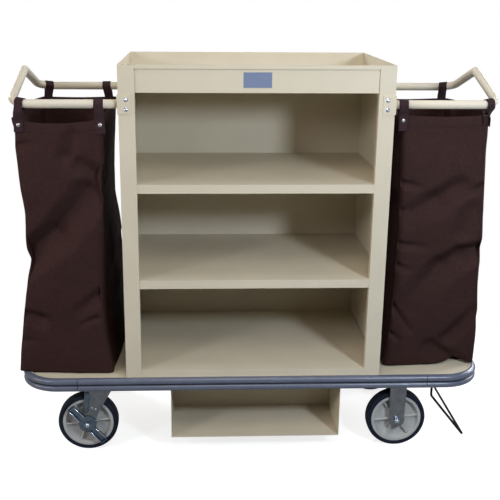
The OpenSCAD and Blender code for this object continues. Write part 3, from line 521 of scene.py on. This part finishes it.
left_bag = {
    "corners": {
        "front_left": [(0.286, -0.783, -0.224), (0.301, -0.780, -0.228), (0.415, -0.765, -0.240),
                       (0.554, -0.7415, -0.248), (0.680, -0.721, -0.252), (0.705, -0.7255, -0.252),
                       (0.738, -0.7285, -0.254), (0.836, -0.725, -0.256), (0.916, -0.733, -0.257),
                       (1.041, -0.742, -0.257), (1.100, -0.741, -0.256), (1.124, -0.747, -0.255),
                       (1.145, -0.750, -0.254)],
        "front_right": [(0.286, -0.464, -0.246), (0.412, -0.484, -0.246), (0.552, -0.494, -0.248),
                        (0.721, -0.487, -0.250), (0.851, -0.479, -0.252), (0.979, -0.472, -0.254),
                        (1.145, -0.474, -0.256)],
        "rear_right": [(0.286, -0.446, 0.240), (0.552, -0.456, 0.250), (0.700, -0.470, 0.252),
                       (0.820, -0.486, 0.254), (1.145, -0.472, 0.256)],
        "rear_left": [(0.286, -0.748, 0.232), (0.552, -0.734, 0.246), (0.780, -0.728, 0.252),
                      (1.145, -0.734, 0.256)],
    },
    "hem": {"front_left": 1.134, "front_right": 1.136, "rear_right": 1.144, "rear_left": 1.143},
    "sag": {"front": (0.013, 1), "right": (0.004, 1), "rear": (0.003, 1), "left": (-0.012, 1)},
    "lift": {},
    "swell": {"front": 0.006, "right": -0.004, "rear": 0.006, "left": 0.004},
    "seed": Vector((3.1, 0.7, 1.9)),
    "creases": {"front": [
        ((-0.745, 0.690), (-0.630, 0.781), 0.036, 0.030, 0.049),
        ((-0.630, 0.781), (-0.524, 0.914), 0.032, 0.022, 0.052),
        ((-0.524, 0.914), (-0.485, 0.970), 0.016, 0.005, 0.045),
        ((-0.564, 1.092), (-0.586, 1.025), 0.007, 0.014, 0.025),
        ((-0.586, 1.025), (-0.604, 0.972), 0.009, 0.001, 0.028),
        ((-0.545, 1.000), (-0.490, 0.962), 0.011, 0.018, 0.032),
        ((-0.560, 0.520), (-0.495, 0.572), 0.008, 0.016, 0.026),
        ((-0.557, 0.466), (-0.517, 0.486), 0.005, 0.009, 0.013),
        ((-0.745, 0.502), (-0.692, 0.484), 0.012, 0.016, 0.026),
        ((-0.692, 0.484), (-0.662, 0.460), 0.014, 0.001, 0.025),
        ((-0.755, 0.407), (-0.720, 0.405), 0.007, 0.003, 0.013),
        ((-0.730, 1.056), (-0.690, 1.062), 0.009, 0.002, 0.015),
    ], "right": [
        ((-0.24, 0.960), (0.05, 0.860), 0.012, 0.004, 0.045),
        ((0.24, 0.620), (-0.05, 0.540), 0.012, 0.004, 0.045),
    ], "left": [
        ((-0.24, 0.690), (0.02, 0.640), 0.004, 0.012, 0.035),
        ((0.23, 0.900), (0.00, 0.820), 0.016, 0.003, 0.035),
        ((0.20, 0.450), (-0.10, 0.420), 0.014, 0.003, 0.032),
        ((-0.20, 1.000), (0.05, 0.960), 0.010, 0.002, 0.025),
    ], "rear": [
        ((-0.50, 0.860), (-0.68, 0.760), 0.018, 0.006, 0.032),
        ((-0.72, 0.520), (-0.55, 0.450), 0.016, 0.004, 0.028),
        ((-0.56, 1.060), (-0.62, 0.980), 0.008, 0.003, 0.018),
    ]},
}

right_bag = {
    "corners": {
        "front_left": [(0.286, 0.446, -0.207), (0.318, 0.454, -0.212), (0.519, 0.463, -0.226),
                       (0.630, 0.465, -0.232), (0.857, 0.463, -0.244), (1.056, 0.455, -0.253),
                       (1.155, 0.445, -0.256)],
        "front_right": [(0.286, 0.768, -0.194), (0.327, 0.764, -0.205), (0.440, 0.758, -0.222),
                        (0.555, 0.748, -0.236), (0.640, 0.742, -0.243), (0.731, 0.742, -0.249),
                        (0.879, 0.7325, -0.254), (1.035, 0.7255, -0.256), (1.085, 0.7265, -0.256),
                        (1.155, 0.723, -0.256)],
        "rear_right": [(0.286, 0.748, 0.222), (0.552, 0.740, 0.240), (0.780, 0.732, 0.250),
                       (1.155, 0.724, 0.256)],
        "rear_left": [(0.286, 0.452, 0.226), (0.552, 0.456, 0.244), (0.780, 0.454, 0.252),
                      (1.155, 0.450, 0.256)],
    },
    "hem": {"front_left": 1.149, "front_right": 1.150, "rear_right": 1.141, "rear_left": 1.140},
    "sag": {"front": (0.005, 1), "right": (-0.013, 0.5), "rear": (0.004, 1), "left": (-0.004, 1)},
    "lift": {"front": (0.016, 0.705, 0.03)},
    "swell": {"front": 0.006, "right": 0.004, "rear": 0.006, "left": 0.019},
    "seed": Vector((7.7, 2.3, 4.1)),
    "creases": {"front": [
        ((0.750, 0.722), (0.675, 0.702), 0.026, 0.028, 0.035),
        ((0.675, 0.702), (0.613, 0.660), 0.027, 0.024, 0.042),
        ((0.613, 0.660), (0.516, 0.539), 0.024, 0.008, 0.047),
        ((0.644, 0.930), (0.578, 0.886), 0.014, 0.019, 0.038),
        ((0.578, 0.886), (0.510, 0.843), 0.019, 0.011, 0.042),
        ((0.725, 0.929), (0.679, 0.909), 0.011, 0.005, 0.015),
        ((0.690, 0.850), (0.668, 0.780), 0.008, 0.007, 0.035),
        ((0.452, 0.940), (0.526, 0.923), 0.016, 0.003, 0.013),
        ((0.452, 0.845), (0.511, 0.840), 0.015, 0.003, 0.013),
        ((0.452, 0.732), (0.551, 0.723), 0.016, 0.003, 0.013),
        ((0.452, 0.662), (0.508, 0.643), 0.015, 0.003, 0.013),
        ((0.455, 0.528), (0.526, 0.425), 0.017, 0.005, 0.014),
        ((0.455, 0.418), (0.495, 0.387), 0.015, 0.005, 0.011),
        ((0.748, 0.505), (0.661, 0.401), 0.007, 0.020, 0.030),
        ((0.606, 0.367), (0.700, 0.300), 0.018, 0.022, 0.035),
    ], "left": [
        ((-0.222, 1.080), (-0.205, 0.640), 0.004, 0.010, 0.007),
        ((-0.205, 0.640), (-0.180, 0.310), 0.010, 0.010, 0.007),
        ((-0.18, 0.880), (0.05, 0.800), 0.012, 0.003, 0.035),
        ((0.22, 0.560), (-0.02, 0.480), 0.014, 0.004, 0.038),
    ], "right": [
        ((-0.23, 0.720), (0.05, 0.660), 0.005, 0.010, 0.032),
        ((0.24, 0.930), (0.02, 0.850), 0.016, 0.003, 0.035),
        ((-0.20, 0.470), (0.08, 0.420), 0.003, 0.008, 0.030),
        ((0.20, 0.620), (0.00, 0.560), 0.010, 0.002, 0.025),
    ], "rear": [
        ((0.46, 0.800), (0.64, 0.720), 0.018, 0.006, 0.032),
        ((0.73, 0.540), (0.58, 0.460), 0.016, 0.004, 0.028),
        ((0.60, 1.060), (0.55, 0.980), 0.008, 0.003, 0.018),
    ]},
}

brown_cloth = woven("brown_cloth", (0.041, 0.0206, 0.0193))
brown_thread = new_finish("brown_thread", (0.045, 0.027, 0.026), 0.7)
tint(brown_thread, grain(brown_thread, 600), (0.035, 0.021, 0.020), (0.06, 0.036, 0.034))
for side, bag in (("left", left_bag), ("right", right_bag)):
    cloth_piece, cloth_columns = bag_cloth(f"{side}_bag_cloth", bag, brown_cloth)
    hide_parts(f"{side}_bag")
    hem_stitches(f"{side}_bag_hem_stitches", cloth_columns, brown_thread)


# Bag straps
# Strips of a plum-brown weave, folded double. Each is sewn inside the hem, goes over the handle tube and
# comes down outside, where a snap holds its tail to the bag. The snaps are small pewter caps.
strap_wide = 0.029
strap_thick = 0.0024
strap_stand_off = 0.0034
strap_off_tube = 0.0004
strap_root_drop = 0.026
snap_drop = 0.016
hem_y = 0.256
bend_start = handle_x - tube_bend
peak_slope = math.atan2(peak_rise, tube_y)


def tube_place(x, end):
    """The right handle tube's centre and direction at x, at its front (end -1) or its rear (end 1)."""
    angle = math.asin(max(0, x - bend_start) / tube_bend)
    ahead = Vector((0, -end * math.cos(peak_slope), math.sin(peak_slope)))
    centre = Vector((x, end * tube_y, tube_z)) + ahead * tube_bend * (1 - math.cos(angle))
    return centre, Vector((math.cos(angle), 0, 0)) + ahead * math.sin(angle)


def ribbon(name, path, sides, finish, slot):
    """A flat strap with soft edges, swept along a path; sides gives its sideways direction at each point."""
    half, edge, thick = strap_wide / 2, 0.0012, strap_thick / 2
    top = [(-half + edge, thick), (-half / 2, thick), (0, thick), (half / 2, thick), (half - edge, thick)]
    outline = [(-half, 0)] + top + [(half, 0)] + [(a, -b) for a, b in reversed(top)]
    points, cloth_map = [], []
    travel = 0.0
    for k, place in enumerate(path):
        ahead = (path[min(k + 1, len(path) - 1)] - path[max(k - 1, 0)]).normalized()
        side = (sides[k] - ahead * sides[k].dot(ahead)).normalized()
        face = side.cross(ahead)
        travel += (place - path[k - 1]).length if k else 0
        points += [place + side * a + face * b for a, b in outline]
        cloth_map += [(a, travel) for a, b in outline]
    piece = new_piece(name, points, swept_faces(len(path), len(outline)), finish, slot)
    cloth = piece.data.uv_layers.new(name="cloth")
    for corner in piece.data.loops:
        cloth.data[corner.index].uv = cloth_map[corner.vertex_index]
    return piece


def rounded(knots, steps=5):
    """More points on a smooth curve through the knots."""
    points = []
    last = len(knots) - 1
    for i in range(last):
        a, b, c, d = (knots[max(i - 1, 0)], knots[i], knots[i + 1], knots[min(i + 2, last)])
        for k in range(steps):
            t = k / steps
            points.append(0.5 * (2 * b + (c - a) * t + (2 * a - 5 * b + 4 * c - d) * t * t
                                 + (3 * b - 3 * c + d - a) * t ** 3))
    return points + [knots[last]]


def strap_path(strap, hem_z):
    """A right-hand strap's line from inside the hem, over the tube and down outside, and its sideways
    directions. Its tail faces straight out, or turned towards the bag's outer side."""
    up = Vector((0, 0, 1))
    end = strap["end"]
    centre, along = tube_place(strap["x"], end)
    out = Vector((along.y, -along.x, 0)).normalized() * -end
    reach = tube_radius + strap_thick / 2 + strap_off_tube
    turn = math.radians(strap["turn"])
    face = Vector((math.sin(turn), end * math.cos(turn), 0))
    level = Vector((math.cos(turn), -end * math.sin(turn), 0))
    wall = Vector((strap["tail_x"], end * strap["tail_y"], 0))
    root = Vector((strap["root_x"], end * (hem_y - strap_stand_off), 0))
    knots = [root + up * (hem_z - strap_root_drop), root + up * hem_z]
    for angle in range(190, -11, -25):
        a = math.radians(angle)
        knots.append(centre + out * reach * math.cos(a) + up * reach * math.sin(a))
    low = wall + face * strap_stand_off
    at_hem = low + up * hem_z
    knots.append(knots[-1].lerp(at_hem, 0.5) + face * strap["slack"])
    lean = level * strap["lean"]
    knots.append(at_hem)
    knots.append(low + up * (hem_z + strap["tail_z"]) / 2 + lean * 0.4)
    knots.append(low + up * strap["tail_z"] + lean)
    path = rounded(knots)
    turn_start, turn_run = tube_z - 0.012, 0.03
    sides = []
    for place in path:
        turned_share = min(1, max(0, (turn_start - place.z) / turn_run))
        sides.append(along.lerp(level, turned_share))
    snap = low + face * (strap_thick / 2) + up * (hem_z - snap_drop) + lean * 0.3
    return path, sides, snap, face


plum_strap = woven("plum_strap_cloth", (0.042, 0.0235, 0.0275))
plain_strap = {"end": -1, "turn": 0, "tail_y": hem_y, "slack": 0.002, "lean": 0, "tail_z": 1.100}
strap_sets = {
    "left": [{"x": 0.714, "tail_x": 0.724, "slack": 0.007, "tail_z": 1.096},
             {"x": 0.480, "tail_x": 0.479, "lean": -0.004, "tail_z": 1.090},
             {"x": 0.711, "tail_x": 0.716, "end": 1},
             {"x": 0.506, "tail_x": 0.500, "end": 1}],
    "right": [{"x": 0.449, "tail_x": 0.452},
              {"x": 0.715, "root_x": 0.704, "tail_x": 0.7235, "tail_y": 0.241, "turn": 80, "tail_z": 1.113},
              {"x": 0.711, "tail_x": 0.710, "end": 1},
              {"x": 0.462, "tail_x": 0.465, "end": 1}],
}
snap_places = []
for side, straps in strap_sets.items():
    flip = Vector((-1 if side == "left" else 1, 1, 1))
    hems = (left_bag if side == "left" else right_bag)["hem"]
    for count, changes in enumerate(straps):
        strap = {**plain_strap, "root_x": changes["tail_x"], **changes}
        hem_z = hems["front_left" if strap["end"] < 0 else "rear_left"]
        path, sides, snap, face = strap_path(strap, hem_z)
        path, sides = [p * flip for p in path], [s * flip for s in sides]
        strap_piece = ribbon(f"{side}_bag_strap_{count + 1}", path, sides, plum_strap, "strap_fabric")
        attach(strap_piece, "cart")
        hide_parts(f"{side}_bag_straps")
        snap_places.append((snap * flip, face * flip))


def turned(profile, place, axis, count):
    """Points and faces of a profile of (radius, distance along the axis) turned about that axis."""
    across = axis.orthogonal().normalized()
    up = axis.cross(across)
    points, faces = [], []
    for k in range(count):
        angle = 2 * math.pi * k / count
        ray = across * math.cos(angle) + up * math.sin(angle)
        points += [place + ray * r + axis * h for r, h in profile]
    n = len(profile)
    for k in range(count):
        for m in range(n - 1):
            faces.append((k * n + m, (k + 1) % count * n + m, (k + 1) % count * n + m + 1, k * n + m + 1))
    return points, faces


def joined(parts):
    """One list of points and one of faces from several."""
    points, faces = [], []
    for part_points, part_faces in parts:
        start = len(points)
        points += part_points
        faces += [tuple(start + k for k in face) for face in part_faces]
    return points, faces


def close_up(piece):
    """Merges points that lie together and turns every face outward."""
    shell = bmesh.new()
    shell.from_mesh(piece.data)
    bmesh.ops.remove_doubles(shell, verts=shell.verts, dist=1e-6)
    bmesh.ops.recalc_face_normals(shell, faces=shell.faces)
    shell.to_mesh(piece.data)
    shell.free()


def riding_piece(name, parts, finish, slot, body):
    """One closed piece from several parts of (points, faces), which moves with its body."""
    piece = new_piece(name, *joined(parts), finish, slot)
    close_up(piece)
    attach(piece, body)
    return piece


pewter_colour = (0.60, 0.585, 0.57)
pewter = new_finish("pewter_snap", pewter_colour, 0.28, 1.0)
tint(pewter, grain(pewter, 400), shade(pewter_colour, 0.85), shade(pewter_colour, 1.1))
shine(pewter, grain(pewter, 700), 0.2, 0.36)
snap_cap = [(0, 0), (0.0056, 0), (0.0060, 0.0005), (0.0057, 0.0012), (0.0049, 0.0010), (0.0045, 0.0014),
            (0.0037, 0.0024), (0.0024, 0.0030), (0, 0.0032)]
snap_parts = [turned(snap_cap, place, face, 24) for place, face in snap_places]
snaps = riding_piece("bag_snap_caps", snap_parts, pewter, "snap_chrome", "cart")
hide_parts("bag_snaps")


# Caster frames
# Pressed zinc-plated forks, plates and bearing races, bolted up to the channels. The left pair swivels on
# ball races, with two-ended brake levers that have rolled rims; the right pair is fixed. A rib stiffens the
# trailing edge of each swivel fork's outer leg, with two rivets beside it.
coat(zinc, "swivel_plates", "fixed_forks", "front_swivel_fork", "rear_swivel_fork")
coat(zinc, "front_swivel_race", "rear_swivel_race", "kingpins", "caster_bolts", "caster_nuts")
coat(bright_zinc, "fixed_axles", "front_swivel_axle", "rear_swivel_axle")
coat(zinc, "front_swivel_bush", "rear_swivel_bush", "front_fixed_bush", "rear_fixed_bush")
blued_colour = (0.13, 0.175, 0.225)
blued_steel = new_finish("blued_zinc", blued_colour, 0.3, 1.0)
tint(blued_steel, grain(blued_steel, 60), shade(blued_colour, 0.8), shade(blued_colour, 1.2))
shine(blued_steel, grain(blued_steel, 160), 0.22, 0.36)
relief(blued_steel, grain(blued_steel, 25), 0.0004)
coat(blued_steel, "front_brake_lever", "rear_brake_lever")

swivel_x = -0.558
caster_y = 0.214
wheel_r = 0.1015
fork_face = 0.031
fold_top = 0.0405
fold_side = 0.0115
fold_start, fold_end = 0.027, 0.078
rim_r = 0.0019
lever_tilt = math.radians(48)
arm = Vector((math.cos(lever_tilt), 0, -math.sin(lever_tilt)))
arm_side = Vector((math.sin(lever_tilt), 0, math.cos(lever_tilt)))
leg_rib_half = 0.0095
leg_rib_rise = 0.004
leg_rib_low = Vector((-0.0065, 0, 0.040))
leg_rib_line = Vector((0.010, 0, 0.079))
rivet = [(0, 0), (0.0042, 0), (0.0040, 0.0012), (0.0028, 0.0024), (0, 0.0030)]
rivet_places = [Vector((0.018, 0, 0.059)), Vector((0.029, 0, 0.055))]


def rounded_rod(r, length):
    """The profile of a rod with rounded ends, to be turned about its axis."""
    return [(0, 0), (r * 0.7, r * 0.3), (r, r), (r, length - r), (r * 0.7, length - r * 0.3), (0, length)]


def lever_rims(middle, out):
    """A rolled rim on both folds of both arms of a lever on the axle."""
    rim = rounded_rod(rim_r, fold_end - fold_start)
    parts = []
    for way in (-1, 1):
        for edge in (-1, 1):
            start = middle + out * fold_top + arm * way * fold_start + arm_side * edge * fold_side
            parts.append(turned(rim, start, arm * way, 12))
    return parts


def leg_rib(middle, out):
    """A rounded rod along the leg's trailing edge, pressed flat onto the leg's face."""
    rod = rounded_rod(leg_rib_half, leg_rib_line.length)
    points, faces = turned(rod, middle + leg_rib_low, leg_rib_line.normalized(), 32)
    for point in points:
        point.y = middle.y + out.y * fork_face + (point.y - middle.y) * leg_rib_rise / leg_rib_half
    return points, faces


for side, end in (("front", -1), ("rear", 1)):
    out = Vector((0, end, 0))
    middle = Vector((swivel_x, end * caster_y, wheel_r))
    rivets = [turned(rivet, middle + out * fork_face + place, out, 16) for place in rivet_places]
    brake, swivel = f"{side}_brake", f"{side}_swivel"
    # The rims are real folds, but their brighter, smoother zinc is a painted highlight along the lever's
    # edges.
    riding_piece(f"{brake}_lever_rims", lever_rims(middle, out), bright_zinc, "zinc_steel", brake)
    riding_piece(f"{swivel}_fork_rivets", rivets, bright_zinc, "zinc_steel", swivel)
    # The rib's shape is real, but its darker blued finish is painted shade on this part of the zinc fork leg.
    riding_piece(f"{swivel}_fork_rib", [leg_rib(middle, out)], blued_steel, "zinc_steel", swivel)


# Wheels
# Moulded grey plastic hubs with a ring, a thin web, six ribs and a boss, each in a navy-black rubber tyre.
# The tyre has rounded shoulders and a shallow groove on each side where it meets the hub's ring.
fixed_x = 0.498
hub_r = 0.086
ring_in_r = 0.0755
tyre_half = 0.022
ring_half = 0.0205
bore_r = 0.0102
boss_r = 0.020
boss_half = 0.026
web_half = 0.004
rib_half = 0.016
rib_count = 6
rib_start = 7


def hub_profile():
    """Half outline from the bore over the boss, the web and the ring, and back on the far side."""
    near = [(bore_r, boss_half), (boss_r - 0.0012, boss_half), (boss_r, boss_half - 0.0012),
            (boss_r + 0.0012, web_half + 0.004), (boss_r + 0.0024, web_half + 0.0012),
            (boss_r + 0.0052, web_half), (ring_in_r - 0.0050, web_half),
            (ring_in_r - 0.0022, web_half + 0.0012), (ring_in_r - 0.0010, web_half + 0.004),
            (ring_in_r, ring_half - 0.0014), (ring_in_r + 0.0014, ring_half),
            (hub_r - 0.0012, ring_half), (hub_r, ring_half - 0.0012)]
    far = [(r, -h) for r, h in reversed(near)]
    return near + far + near[:1]


def hub_ribs(place):
    """Ribs from the boss to the ring on both faces of the web, thinner at the top."""
    parts = []
    for k in range(rib_count):
        angle = math.radians(rib_start + 360 / rib_count * k)
        ray = Vector((math.cos(angle), 0, math.sin(angle)))
        across = Vector((-ray.z, 0, ray.x))
        for face in (-1, 1):
            out = Vector((0, face, 0))
            section = [(0.0026, web_half - 0.001), (0.0019, rib_half - 0.0008), (0.0012, rib_half),
                       (-0.0012, rib_half), (-0.0019, rib_half - 0.0008), (-0.0026, web_half - 0.001)]
            ends = (boss_r - 0.002, ring_in_r + 0.002)
            points = [place + ray * r + across * a + out * h for r in ends for a, h in section]
            parts.append((points, swept_faces(len(ends), len(section))))
    return parts


def tyre_profile():
    """The bead against the hub, the side groove, the shoulders and a slightly crowned tread."""
    shoulder = 0.008
    groove = hub_r + 0.0036
    crown = 0.0004
    side = [(hub_r + 0.0002, ring_half - 0.003), (hub_r + 0.0002, ring_half - 0.0005),
            (hub_r + 0.0016, tyre_half), (groove, tyre_half), (groove + 0.0005, tyre_half - 0.0008),
            (groove + 0.0011, tyre_half - 0.0008), (groove + 0.0016, tyre_half)]
    for k in range(7):
        angle = math.radians(15 * k)
        r = wheel_r - crown - shoulder * (1 - math.sin(angle))
        side.append((r, tyre_half - shoulder * (1 - math.cos(angle))))
    side.append((wheel_r, 0.004))
    far = [(r, -h) for r, h in reversed(side)]
    return side + far + side[:1]


hub_colour = (0.50, 0.50, 0.485)
hub_plastic = new_finish("grey_hub_plastic", hub_colour, 0.5)
tint(hub_plastic, grain(hub_plastic, 30), shade(hub_colour, 0.9), shade(hub_colour, 1.06))
shine(hub_plastic, grain(hub_plastic, 220), 0.42, 0.58)
relief(hub_plastic, grain(hub_plastic, 800), 0.00006)
tyre_colour = (0.0085, 0.0125, 0.024)
tyre_rubber = new_finish("navy_black_rubber", tyre_colour, 0.6)
shader_of(tyre_rubber).inputs["Specular IOR Level"].default_value = 0.15
tint(tyre_rubber, grain(tyre_rubber, 40), shade(tyre_colour, 0.8), shade(tyre_colour, 1.5))
shine(tyre_rubber, grain(tyre_rubber, 150), 0.5, 0.72)
relief(tyre_rubber, grain(tyre_rubber, 600), 0.00012)

wheel_places = {"front_swivel": (swivel_x, -caster_y), "rear_swivel": (swivel_x, caster_y),
                "front_fixed": (fixed_x, -caster_y), "rear_fixed": (fixed_x, caster_y)}
axle_line = Vector((0, 1, 0))
for wheel, (x, y) in wheel_places.items():
    place = Vector((x, y, wheel_r))
    hub_parts = [turned(hub_profile(), place, axle_line, 72)] + hub_ribs(place)
    hub = riding_piece(f"{wheel}_hub_moulding", hub_parts, hub_plastic, "hub_plastic", f"{wheel}_wheel")
    hub.data.set_sharp_from_angle(angle=math.radians(40))
    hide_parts(f"{wheel}_hub")
    tyre_parts = [turned(tyre_profile(), place, axle_line, 96)]
    tyre = riding_piece(f"{wheel}_tyre_ring", tyre_parts, tyre_rubber, "tyre_rubber", f"{wheel}_wheel")
    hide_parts(f"{wheel}_tyre")


# Studio
# A white floor that keeps the cart's soft shadow, a main lamp at the front right, a weaker one at the left,
# soft ones above, beside and behind, and a white room that lights it faintly. The camera stands where the
# photograph was taken from.
def seen(tree, mirrored):
    """1 for rays from the camera and through glass, the share mirrored for reflections, and otherwise 0."""
    path = tree.nodes.new("ShaderNodeLightPath")
    either = tree.nodes.new("ShaderNodeMath")
    either.operation = "MAXIMUM"
    every = tree.nodes.new("ShaderNodeMath")
    every.operation = "MULTIPLY_ADD"
    every.inputs[1].default_value = mirrored
    tree.links.new(path.outputs["Is Camera Ray"], either.inputs[0])
    tree.links.new(path.outputs["Is Transmission Ray"], either.inputs[1])
    tree.links.new(path.outputs["Is Glossy Ray"], every.inputs[0])
    tree.links.new(either.outputs["Value"], every.inputs[2])
    return every.outputs["Value"]


def floor_finish():
    """Pale and diffuse, and brighter where it is seen, so that it reads as white round the shadow."""
    finish = bpy.data.materials.new("studio_floor")
    finish.use_nodes = True
    tree = finish.node_tree
    tree.nodes.clear()
    output = tree.nodes.new("ShaderNodeOutputMaterial")
    plain = tree.nodes.new("ShaderNodeBsdfDiffuse")
    plain.inputs["Color"].default_value = (0.3, 0.3, 0.3, 1)
    near = tree.nodes.new("ShaderNodeBsdfDiffuse")
    near.inputs["Color"].default_value = (0.5, 0.5, 0.5, 1)
    glow = tree.nodes.new("ShaderNodeEmission")
    glow.inputs["Strength"].default_value = 0.78
    lit = tree.nodes.new("ShaderNodeAddShader")
    far = tree.nodes.new("ShaderNodeEmission")
    place = tree.nodes.new("ShaderNodeTexCoord")
    length = tree.nodes.new("ShaderNodeVectorMath")
    length.operation = "LENGTH"
    fade = tree.nodes.new("ShaderNodeMapRange")
    fade.interpolation_type = "SMOOTHSTEP"
    fade.inputs["From Min"].default_value = 0.9
    fade.inputs["From Max"].default_value = 1.6
    shown = tree.nodes.new("ShaderNodeMixShader")
    final = tree.nodes.new("ShaderNodeMixShader")
    tree.links.new(place.outputs["Object"], length.inputs[0])
    tree.links.new(length.outputs["Value"], fade.inputs["Value"])
    tree.links.new(near.outputs[0], lit.inputs[0])
    tree.links.new(glow.outputs[0], lit.inputs[1])
    tree.links.new(fade.outputs["Result"], shown.inputs["Fac"])
    tree.links.new(lit.outputs[0], shown.inputs[1])
    tree.links.new(far.outputs[0], shown.inputs[2])
    tree.links.new(seen(tree, 0.15), final.inputs["Fac"])
    tree.links.new(plain.outputs[0], final.inputs[1])
    tree.links.new(shown.outputs[0], final.inputs[2])
    tree.links.new(final.outputs[0], output.inputs["Surface"])
    return finish


floor_half = 40
floor_mesh = bpy.data.meshes.new("studio_floor")
floor_mesh.from_pydata([(-floor_half, -floor_half, 0), (floor_half, -floor_half, 0),
                        (floor_half, floor_half, 0), (-floor_half, floor_half, 0)], [], [(0, 1, 2, 3)])
floor_mesh.materials.append(floor_finish())
floor = bpy.data.objects.new("studio_floor", floor_mesh)
bpy.context.scene.collection.objects.link(floor)


def soft_lamp(name, place, aim, size, watts, colour):
    light = bpy.data.lights.new(name, "AREA")
    light.shape = "DISK"
    light.size = size
    light.energy = watts
    light.color = colour
    lamp = bpy.data.objects.new(name, light)
    lamp.location = place
    lamp.rotation_euler = (Vector(aim) - Vector(place)).to_track_quat("-Z", "Y").to_euler()
    bpy.context.scene.collection.objects.link(lamp)


soft_lamp("right_lamp", (1.1, -2.0, 1.64), (0, -0.2, 0.75), 0.3, 25, (0.87, 1.0, 1.15))
soft_lamp("left_lamp", (-2.3, -2.1, 1.9), (0, -0.2, 0.75), 0.5, 22, (0.97, 0.97, 1.03))
soft_lamp("top_lamp", (0, -0.3, 3.2), (0, 0, 0.75), 1.8, 20, (0.97, 0.97, 0.98))
soft_lamp("high_front_lamp", (0, -1.9, 2.75), (0, -0.2, 0.75), 1.2, 19, (0.97, 0.92, 0.83))
soft_lamp("left_side_lamp", (-2.6, -0.9, 1.0), (-0.75, 0, 0.7), 0.6, 12, (1.0, 0.85, 0.68))
soft_lamp("right_side_lamp", (2.6, 0.5, 1.2), (0.75, 0, 0.7), 0.6, 22, (0.97, 0.97, 1.0))
for side in (-1, 1):
    soft_lamp("rear_lamp", (side * 2.3, 1.9, 1.9), (0, 0.2, 0.75), 0.8, 45, (0.97, 0.98, 1.03))

room = bpy.data.worlds.new("studio_room")
room.use_nodes = True
bpy.context.scene.world = room
room_light = room.node_tree.nodes["Background"]
room_light.inputs["Color"].default_value = (1, 1, 1, 1)
room_level = room.node_tree.nodes.new("ShaderNodeMapRange")
room_level.inputs["To Min"].default_value = 0.03
room_level.inputs["To Max"].default_value = 1.0
room.node_tree.links.new(seen(room.node_tree, 0.25), room_level.inputs["Value"])
room.node_tree.links.new(room_level.outputs["Result"], room_light.inputs["Strength"])

lens = bpy.data.cameras.new("photo_camera")
lens.sensor_width = 36
lens.lens = 62.24
lens.shift_x = 0.0304
camera = bpy.data.objects.new("photo_camera", lens)
camera.location = (-0.17893, -2.89891, 1.51727)
camera.rotation_euler = [math.radians(a) for a in (73.19, -0.43, -2.35)]
bpy.context.scene.collection.objects.link(camera)
bpy.context.scene.camera = camera
bpy.context.scene.view_settings.view_transform = "Standard"
